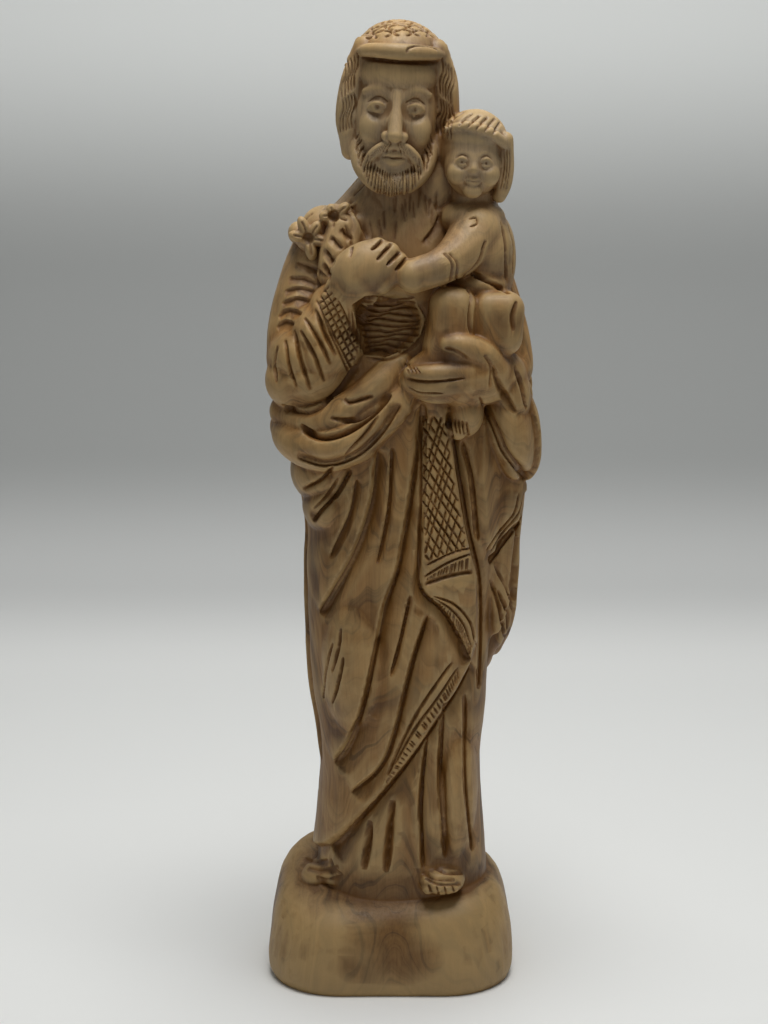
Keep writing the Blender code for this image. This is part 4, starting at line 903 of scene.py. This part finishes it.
def cutHair(rng):
    middle = onHead("saint", 0, 1, 0)
    for row, (up, count) in enumerate(hair["curlRows"]):
        wide = hair["curlWidth"] / math.cos(math.radians(min(up, 80)))
        for k in range(count):
            around = (k + 0.5 * (row % 2)) * 360 / count + rng.uniform(-0.15, 0.15) * wide
            turned = (around + 180) % 360 - 180
            if up < hair["bandTop"] + 6 and abs(turned) < hair["bandSpan"]:
                continue
            hand = 1 if (row + k) % 2 else -1
            curl = [(turned - hand * wide, up + 3.0), (turned + hand * wide * 0.6, up + 1.8),
                    (turned + hand * wide * 0.6, up - 1.6), (turned - hand * wide * 0.4, up - 3.4)]
            cutRound(middle, curl, 0.8, 0.45, 0.6, taper=1.2, power=1)
    # wavy strands down the back and sides
    for row, (top, bottom) in enumerate(hair["strandRows"]):
        for k in range(hair["strands"]):
            around = 92 + (k + 0.5 * (row % 2)) * 176 / 25 + rng.uniform(-1.5, 1.5)
            swing = 4 if row % 2 else -4
            strand = [(around, top + rng.uniform(-2, 2)), (around + swing, top * 0.6 + bottom * 0.4),
                      (around - swing * 0.5, top * 0.25 + bottom * 0.75),
                      (around, bottom + rng.uniform(-2, 2))]
            cutRound(middle, strand, 0.9, 0.65, 0.8, taper=2.5, power=1)
    for side in (1, -1):
        for k in range(5):
            x = side * (12.6 + k * 0.95)
            for top in (13.0 - k * 0.8, 1.5 - k * 0.4):
                wave = [(x, top), (x + 0.55, top - 3.4), (x - 0.35, top - 6.6), (x, top - 10.6)]
                cutHead("saint", wave, 0.8, 0.5, 0.6, taper=2, power=1)
    # the line under the band
    cutHead("saint", [(-11, 11.6), (-7, 11.2), (0, 10.9), (7, 11.2), (11.4, 11.6)], 1.3, 0.9, 1.0, taper=2)
    # the child's hair, combed over from one side
    middle = onHead("child", 0, 1, 0)
    for top, bottom, start, end, count in ((72, 38, 70, 290, 9), (42, 6, 100, 262, 14),
                                           (10, -34, 104, 258, 15)):
        for k in range(count):
            around = start + k * (end - start) / (count - 1) + rng.uniform(-2, 2)
            cutRound(middle, [(around, top), (around + 6, (top + bottom) / 2), (around + 3, bottom)], 0.65,
                     0.5, 0.6, taper=2, power=1)
    for k in range(6):
        stroke = [(-3.6 + 2.3 * k, 13.0 - 0.35 * k), (-6.4 + 2.5 * k, 10.9 - 0.4 * k),
                  (-8.0 + 2.6 * k, 9.2 - 0.5 * k)]
        cutHead("child", stroke, 0.85, 0.55, 0.7, taper=1.2)
    for k in range(3):
        x = 8.6 + k * 0.9
        cutHead("child", [(x, 3), (x + 0.4, -3), (x - 0.3, -9.5)], 0.6, 0.4, 0.45, taper=2)


def cutFaces(rng):
    who = "saint"
    # beard strands hang from round the mouth to the rim
    for k in range(27):
        x = -10.4 + k * 0.8 + rng.uniform(-0.12, 0.12)
        t = abs(x) / 10.4
        top, bottom = -20.6 + 8.6 * t ** 2.4, -28.2 + 13.0 * t ** 2.6
        bend = 0.10 * x + rng.uniform(-0.2, 0.2)
        cutHead(who, [(x * 0.94, top), (x + bend * 0.4, (top + bottom) / 2), (x + bend, bottom)], 0.85, 0.4,
                0.45, taper=1.6)
    for side in (1, -1):
        for k in range(5):
            z = -9.5 - k * 1.9
            cutHead(who, [(side * (10.6 - 0.1 * k), z), (side * (11.6 - 0.35 * k), z - 2.6)], 0.6, 0.4, 0.4,
                    taper=1)
    for side in (1, -1):
        for k in range(8):
            t = k / 7
            cutHead(who, [(side * (0.9 + 6.0 * t), -12.2 - 4.4 * t * t),
                          (side * (2.2 + 6.6 * t), -15.2 - 4.8 * t * t)], 0.5, 0.35, 0.4, taper=0.8)
    for who, face, size in (("saint", saintFace, 1.0), ("child", childFace, 0.62)):
        up, out, mouth = face["eyeUp"], face["eyeOut"], face["mouthUp"]
        cutHead(who, [(-3.7 * size, mouth), (-1.5 * size, mouth + 0.15), (0, mouth - 0.1),
                      (1.5 * size, mouth + 0.15), (3.7 * size, mouth)], 0.5 * size, 0.35, 0.35, taper=1.5)
        for side in (1, -1):
            # fold above the lid, and pupil
            crease = [(side * (out - 3.0 * size), up + 1.5 * size), (side * out, up + 3.0 * size),
                      (side * (out + 3.2 * size), up + 1.2 * size)]
            cutHead(who, crease, 0.4 * size, 0.35, 0.5, taper=1.2)
            laid = faceLine(who, [(side * out - 0.1, up - 0.2), (side * out, up - 0.2),
                                  (side * out + 0.1, up - 0.2)])
            dent(laid[0][1], face["pupil"], face["pupil"] * 0.6)


def cutPetals():
    # a crease down each petal and a hollow throat
    for (x, y, z), tips in lilies:
        for tipX, tipZ in tips:
            cut([(x, z), (x * 0.15 + tipX * 0.85, z * 0.15 + tipZ * 0.85)], 0.7, 0.6, 0.6, taper=1)
        laid = seen([(x - 0.3, z), (x, z), (x + 0.3, z)], spacing=0.2)
        dent(laid[0][0], 2.0, 1.6)


tooling = {"waves": 14, "height": 0.055, "foldDepth": 1.0, "foldSlopes": (0.5, 0.7), "foldTaper": 7}


def handTooled(rng):
    # the slight unevenness that knife and sandpaper leave on the wood
    points = work["points"]
    wave = np.zeros(len(points))
    for k in range(tooling["waves"]):
        direction = np.array([rng.gauss(0, 1), rng.gauss(0, 1), rng.gauss(0, 0.7)])
        direction *= (0.25 + 0.06 * k) / np.linalg.norm(direction)
        wave += np.sin(points @ direction + rng.uniform(0, 6.28)) / (1 + 0.35 * k)
    work["lift"] += tooling["height"] * wave


rng = random.Random(4)
readClay(figure)
sinkArea(chest["outline"], chest["sunk"], chest["edge"])
writeClay()
readClay(figure)
cutSleevesAndHands()
cutStole(rng)
cutChest(rng)
cutThroat(rng)
cutHair(rng)
cutFaces(rng)
cutPetals()
for line in foldLines:
    cut(line, tooling["foldDepth"], *tooling["foldSlopes"], taper=tooling["foldTaper"])
handTooled(rng)
writeClay()
print("knife work done")


# finish the mesh

def finishFigure(figure):
    pick([figure])
    triangles = 2 * len(figure.data.polygons)
    thin = figure.modifiers.new("thin", "DECIMATE")
    thin.ratio = min(1.0, clayWork["triangles"] / triangles)
    thin.use_collapse_triangulate = True
    bpy.ops.object.modifier_apply(modifier=thin.name)
    # flat underside
    bpy.ops.object.mode_set(mode="EDIT")
    bpy.ops.mesh.select_all(action="SELECT")
    bpy.ops.mesh.bisect(plane_co=(0, 0, drawing["ground"] - plinth["height"]), plane_no=(0, 0, -1),
                        use_fill=True, clear_outer=True)
    bpy.ops.mesh.select_all(action="SELECT")
    bpy.ops.mesh.quads_convert_to_tris()
    bpy.ops.object.mode_set(mode="OBJECT")
    figure.scale = (drawing["mm"],) * 3
    figure.location = (0, 0, (plinth["height"] - drawing["ground"]) * drawing["mm"])
    bpy.ops.object.transform_apply(location=True, rotation=True, scale=True)
    bpy.ops.object.shade_smooth_by_angle(angle=math.radians(clayWork["sharpAngle"]))
    print("  finished mesh", len(figure.data.polygons), "faces")


hollows = {
    "fineSteps": 6, "broadSteps": 40,      # rounds of smoothing that the surface is compared with
    "rays": 14, "reach": 0.028,            # rays sent out from a point, and how far they look, metres
    "start": 0.0003, "upward": 1.05,       # where a ray starts above the wood, and its pull outwards
    "every": 2, "spread": 8,               # every second point is tested, then blurred so many rounds
}


def storeHollows(figure):
    # how deep each point lies below its neighbourhood, and how much of the air near it is shut off
    mesh = figure.data
    count = len(mesh.vertices)
    points, normals = pointsAndNormals(mesh)
    points /= drawing["mm"]
    edges = np.empty(len(mesh.edges) * 2, np.int32)
    mesh.edges.foreach_get("vertices", edges)
    a, b = edges.reshape(-1, 2).T
    neighbours = np.bincount(a, minlength=count) + np.bincount(b, minlength=count)

    def sumOfNeighbours(values):
        return np.bincount(a, values[b], count) + np.bincount(b, values[a], count)

    smooth = points.copy()
    for step in range(hollows["broadSteps"]):
        total = np.stack([sumOfNeighbours(smooth[:, axis]) for axis in range(3)], axis=1)
        smooth = 0.5 * smooth + 0.5 * total / neighbours[:, None]
        if step == hollows["fineSteps"] - 1:
            fine = np.sum((smooth - points) * normals, axis=1)
    broad = np.sum((smooth - points) * normals, axis=1)
    # rays spread over the half sphere that each point looks out on
    rng = np.random.default_rng(7)
    ways = rng.normal(size=(hollows["rays"], 3))
    ways /= np.linalg.norm(ways, axis=1)[:, None]
    tree = BVHTree.FromObject(figure, bpy.context.evaluated_depsgraph_get())
    shut, known = np.zeros(count), np.zeros(count)
    known[::hollows["every"]] = 1
    for index in range(0, count, hollows["every"]):
        out = normals[index]
        start = Vector(points[index] * drawing["mm"] + out * hollows["start"])
        aims = ways + out * hollows["upward"]
        shut[index] = sum(tree.ray_cast(start, Vector(aim), hollows["reach"])[0] is not None for aim in aims)
    shut /= hollows["rays"]
    for _ in range(hollows["spread"]):
        shut = 0.5 * shut + 0.5 * sumOfNeighbours(shut) / neighbours
        known = 0.5 * known + 0.5 * sumOfNeighbours(known) / neighbours
    shut /= np.maximum(known, 0.05)
    for name, values in (("fineHollow", fine), ("broadHollow", broad), ("shutIn", shut)):
        attribute = mesh.attributes.new(name, "FLOAT", "POINT")
        attribute.data.foreach_set("value", values.astype(np.float32))
    print("  hollows", np.percentile(fine, (5, 50, 95)).round(3),
          np.percentile(shut, (5, 50, 75, 95)).round(3))


finishFigure(figure)
storeHollows(figure)
print("mesh finished")


# olive wood

oliveWood = {
    "pale": (0.37, 0.200, 0.066, 1),
    "mid": (0.255, 0.124, 0.033, 1),
    "dark": (0.12, 0.052, 0.014, 1),
    "heart": (0.080, 0.038, 0.020, 1),     # the purplish brown heartwood
    # painted light: a paler tone laid over the upper parts, where the light from above falls
    "paintedTopLight": (0.56, 0.43, 0.26, 1),
    "stain": (0.145, 0.058, 0.008, 1),
    # grime in the hollows together with painted shade, laid where the wood is shut in
    "grimeAndPaintedShade": (0.215, 0.088, 0.012, 1),
    "rubbed": (0.54, 0.37, 0.16, 1),
    "heartAt": (6.0, -14.0),               # where the rings' middle meets the floor, mm
    "heartTilt": (-0.05, 0.42),            # how it leans going up
    "ringPitch": 6.5, "sway": 34.0,        # mm between broad rings, and how far the heart wanders
    "gloss": 0.4, "bump": 0.3, "bumpHeight": 0.0002,
    "roughness": (0.62, 0.46),
    # noises: stretch per mm, detail, roughness, distortion, shift
    "wander": ((0.030, 0.030, 0.011), 3.0, 0.55),
    "patches": ((0.045, 0.045, 0.012), 3.0, 0.6, 0.6, 37.0),
    "fibres": ((1.5, 1.5, 0.05), 4.0, 0.65),
    "wideFibres": ((0.28, 0.28, 0.012), 3.0, 0.6, 0.0, 11.0),
    # ramps: place and strength of each stop
    "growthStops": [(0.33, 0.50), (0.42, 0.84), (0.50, 1.0), (0.8, 1.10)],
    "patchStops": [(0.58, 0.0), (0.68, 0.55), (0.8, 0.8)],
    "paintedTopLightStops": [(0.72, 0.0), (0.86, 0.55), (0.92, 0.55), (0.98, 0.15)],
    # painted shade: the wood darkened towards the bottom, on the plinth and hem
    "paintedShadeStops": [(0.0, 0.60), (0.10, 0.66), (0.16, 0.86), (0.5, 0.9), (0.64, 1.0)],
    "streakStops": [(0.30, 0.70), (0.52, 1.0), (0.85, 1.14)],
    "wideStreakStops": [(0.32, 0.72), (0.50, 1.0), (0.8, 1.12)],
    "grimeAndPaintedShadeStops": [(0.28, 0.0), (0.62, 0.60), (0.9, 0.85)],
    "stainStops": [(0.08, 0.0), (0.32, 0.45), (0.85, 0.85)],
    "rubbedStops": [(0.12, 0.0), (0.75, 0.55)],
}


def node(tree, kind, **values):
    made = tree.nodes.new(kind)
    for key, value in values.items():
        if key.startswith("in_"):
            made.inputs[key[3:].replace("_", " ")].default_value = value
        else:
            setattr(made, key, value)
    return made


def maths(tree, operation, a, b=None):
    made = tree.nodes.new("ShaderNodeMath")
    made.operation = operation
    for socket, value in zip(made.inputs, (a, b)):
        if value is None:
            continue
        if isinstance(value, (int, float)):
            socket.default_value = value
        else:
            tree.links.new(value, socket)
    return made.outputs[0]


def ramp(tree, value, stops, interpolation="LINEAR"):
    made = tree.nodes.new("ShaderNodeValToRGB")
    made.color_ramp.interpolation = interpolation
    elements = made.color_ramp.elements
    while len(elements) < len(stops):
        elements.new(0.5)
    for element, (position, colour) in zip(elements, stops):
        element.position = position
        element.color = colour if isinstance(colour, tuple) else (colour, colour, colour, 1)
    tree.links.new(value, made.inputs[0])
    return made.outputs[0]


def blendColours(tree, share, first, second, kind="MIX"):
    made = tree.nodes.new("ShaderNodeMix")
    made.data_type = "RGBA"
    made.blend_type = kind
    for socket, value in ((made.inputs[0], share), (made.inputs[6], first), (made.inputs[7], second)):
        if isinstance(value, (int, float, tuple)):
            socket.default_value = value
        else:
            tree.links.new(value, socket)
    return made.outputs[2]


def makeOliveWood():
    material = bpy.data.materials.new("oliveWood")
    material.use_nodes = True
    tree = material.node_tree
    link = tree.links.new
    shader = tree.nodes["Principled BSDF"]
    place = node(tree, "ShaderNodeTexCoord")
    millimetres = node(tree, "ShaderNodeVectorMath", operation="SCALE")
    link(place.outputs["Object"], millimetres.inputs[0])
    millimetres.inputs["Scale"].default_value = 1000.0
    mm = millimetres.outputs[0]

    def noise(stretch, detail, roughness, distortion=0.0, shift=0.0):
        mapping = node(tree, "ShaderNodeMapping")
        mapping.inputs["Location"].default_value = (shift, shift * 0.7, shift * 1.3)
        mapping.inputs["Scale"].default_value = stretch
        link(mm, mapping.inputs[0])
        made = node(tree, "ShaderNodeTexNoise", in_Scale=1.0, in_Detail=detail, in_Roughness=roughness,
                    in_Distortion=distortion)
        link(mapping.outputs[0], made.inputs["Vector"])
        return made

    # distance from the tilted, wandering heart of the trunk, counted in rings
    slow = noise(*oliveWood["wander"])
    axes = node(tree, "ShaderNodeSeparateXYZ")
    link(mm, axes.inputs[0])
    x, y, z = axes.outputs
    wander = node(tree, "ShaderNodeSeparateXYZ")
    link(slow.outputs["Color"], wander.inputs[0])
    offsets = []
    for axis, along in enumerate((x, y)):
        heart = maths(tree, "ADD", maths(tree, "MULTIPLY", z, oliveWood["heartTilt"][axis]),
                      oliveWood["heartAt"][axis])
        sway = maths(tree, "MULTIPLY", maths(tree, "SUBTRACT", wander.outputs[axis], 0.5), oliveWood["sway"])
        offset = maths(tree, "ADD", maths(tree, "SUBTRACT", along, heart), sway)
        offsets.append(maths(tree, "MULTIPLY", offset, offset))
    radius = maths(tree, "SQRT", maths(tree, "ADD", *offsets))
    rings = maths(tree, "DIVIDE", radius, oliveWood["ringPitch"])

    def ringNoise(scale, roughness):
        made = node(tree, "ShaderNodeTexNoise", noise_dimensions="1D", in_Scale=scale, in_Detail=4.0,
                    in_Roughness=roughness)
        link(rings, made.inputs["W"])
        return made.outputs[0]

    def strength(value, stops):
        return ramp(tree, value, oliveWood[stops])

    height = maths(tree, "MULTIPLY", z, 1 / 300.0)
    fibres = noise(*oliveWood["fibres"]).outputs[0]
    fine, broad, shut = (node(tree, "ShaderNodeAttribute", attribute_name=name).outputs["Fac"]
                         for name in ("fineHollow", "broadHollow", "shutIn"))
    depth = maths(tree, "ADD", maths(tree, "MULTIPLY", fine, 2.2), maths(tree, "MULTIPLY", broad, 0.25))
    # the broad uneven figure, then what lies over it
    colour = ramp(tree, ringNoise(0.75, 0.6), [(0.28, oliveWood["dark"]), (0.43, oliveWood["mid"]),
                                               (0.60, oliveWood["pale"]), (1.0, oliveWood["pale"])])
    for share, other, kind in (
            (0.85, strength(ringNoise(3.4, 0.7), "growthStops"), "MULTIPLY"),           # growth lines
            (strength(noise(*oliveWood["patches"]).outputs[0], "patchStops"), oliveWood["heart"], "MIX"),
            (strength(height, "paintedTopLightStops"), oliveWood["paintedTopLight"], "MIX"),              # painted light: the wood paler from the chest up over the heads, where the light from above falls
            # painted shade: the wood darker towards the bottom, where less light reaches
            (1.0, strength(height, "paintedShadeStops"), "MULTIPLY"),
            (0.8, strength(fibres, "streakStops"), "MULTIPLY"),
            (0.8, strength(noise(*oliveWood["wideFibres"]).outputs[0], "wideStreakStops"), "MULTIPLY"),
            (strength(shut, "grimeAndPaintedShadeStops"), oliveWood["grimeAndPaintedShade"], "MIX"),                  # grime kept in hollows, with painted shade where the air round the wood is shut in
            (strength(depth, "stainStops"), oliveWood["stain"], "MIX"),
            (strength(maths(tree, "MULTIPLY", depth, -1.0), "rubbedStops"), oliveWood["rubbed"], "MIX")):
        colour = blendColours(tree, share, colour, other, kind)
    link(colour, shader.inputs["Base Color"])
    gloss = ramp(tree, fibres, [(0.3, oliveWood["roughness"][0]), (0.7, oliveWood["roughness"][1])])
    link(gloss, shader.inputs["Roughness"])
    shader.inputs["Specular IOR Level"].default_value = oliveWood["gloss"]
    bump = node(tree, "ShaderNodeBump", in_Strength=oliveWood["bump"], in_Distance=oliveWood["bumpHeight"])
    link(fibres, bump.inputs["Height"])
    link(bump.outputs[0], shader.inputs["Normal"])
    return material


figure.data.materials.clear()
figure.data.materials.append(makeOliveWood())
figure.name = "carvedSaintAndChild"
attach(figure, "root")
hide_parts("carved_saint_and_child")
print("wood finished")


# floor, light and camera

studio = {
    "wallAt": 0.52, "wallHeight": 1.1, "bend": 0.22, "halfWidth": 1.6, "frontEdge": -1.4,
    # painted shade on the paper by height up the sweep, metres: bright floor, a darker band up the wall
    # where the light from above only grazes it, paler again near the top
    "paintedPaperShadeStops": [(0.0, (0.82, 0.83, 0.82, 1)), (0.03, (0.58, 0.59, 0.585, 1)),
                   (0.09, (0.37, 0.38, 0.375, 1)), (0.18, (0.38, 0.39, 0.385, 1)),
                   (0.33, (0.80, 0.82, 0.81, 1))],
    "skyPower": 6.9, "skySize": 0.45, "skyAt": (0.05, -0.10, 0.95),
    "skyColour": (1.0, 0.99, 0.97), "fillColour": (0.95, 0.98, 1.0), "roomColour": (0.93, 0.96, 1.0, 1),
    "fillAt": (-0.7, -0.9, 0.55), "fillSize": 0.8, "fillPower": 0.2, "worldStrength": 0.13,
}
lens = {"place": (-0.0022, -0.600, 0.270), "pitch": 11.35, "length": 68.5}


def makeStage():
    bpy.ops.mesh.primitive_plane_add(size=1, location=(0, 0, 0))
    sweep = bpy.context.active_object
    sweep.name = "paperSweep"
    bm = bmesh.new()
    half, front, bend = studio["halfWidth"], studio["frontEdge"], studio["bend"]
    profile = [(front, 0.0)]
    for step in range(13):
        angle = math.radians(90 * step / 12)
        profile.append((studio["wallAt"] - bend + bend * math.sin(angle), bend * (1 - math.cos(angle))))
    profile.append((studio["wallAt"], studio["wallHeight"]))
    rows = [[bm.verts.new((x, y, z)) for x in (-half, half)] for y, z in profile]
    for low, high in zip(rows, rows[1:]):
        bm.faces.new((low[0], low[1], high[1], high[0]))
    bm.to_mesh(sweep.data)
    bm.free()
    bpy.ops.object.shade_smooth()
    paper = bpy.data.materials.new("paper")
    paper.use_nodes = True
    shader = paper.node_tree.nodes["Principled BSDF"]
    place = node(paper.node_tree, "ShaderNodeTexCoord")
    axes = node(paper.node_tree, "ShaderNodeSeparateXYZ")
    paper.node_tree.links.new(place.outputs["Object"], axes.inputs[0])
    # painted shade: the paper's colour darkens up the wall and pales again near the top
    paintedPaperShade = ramp(paper.node_tree, axes.outputs[2], studio["paintedPaperShadeStops"], "EASE")
    paper.node_tree.links.new(paintedPaperShade, shader.inputs["Base Color"])
    shader.inputs["Roughness"].default_value = 0.85
    sweep.data.materials.append(paper)


def makeLight(name, place, aim, size, power, colour):
    bpy.ops.object.light_add(type="AREA", location=place)
    lamp = bpy.context.active_object
    lamp.name = name
    lamp.data.size = size
    lamp.data.energy = power
    lamp.data.color = colour
    lamp.rotation_euler = (Vector(aim) - Vector(place)).to_track_quat("-Z", "Y").to_euler()


makeStage()
makeLight("ceiling", studio["skyAt"], (0, 0, 0), studio["skySize"], studio["skyPower"], studio["skyColour"])
makeLight("fill", studio["fillAt"], (0, 0, 0.15), studio["fillSize"], studio["fillPower"],
          studio["fillColour"])
world = bpy.data.worlds.new("room")
bpy.context.scene.world = world
world.use_nodes = True
world.node_tree.nodes["Background"].inputs[0].default_value = studio["roomColour"]
world.node_tree.nodes["Background"].inputs[1].default_value = studio["worldStrength"]
bpy.ops.object.camera_add(location=lens["place"], rotation=(math.radians(90 - lens["pitch"]), 0, 0))
camera = bpy.context.active_object
camera.data.sensor_fit = "VERTICAL"
camera.data.sensor_height = 36
camera.data.lens = lens["length"]
camera.data.clip_start = 0.01
bpy.context.scene.camera = camera
bpy.context.scene.view_settings.view_transform = "Standard"
print("studio set")
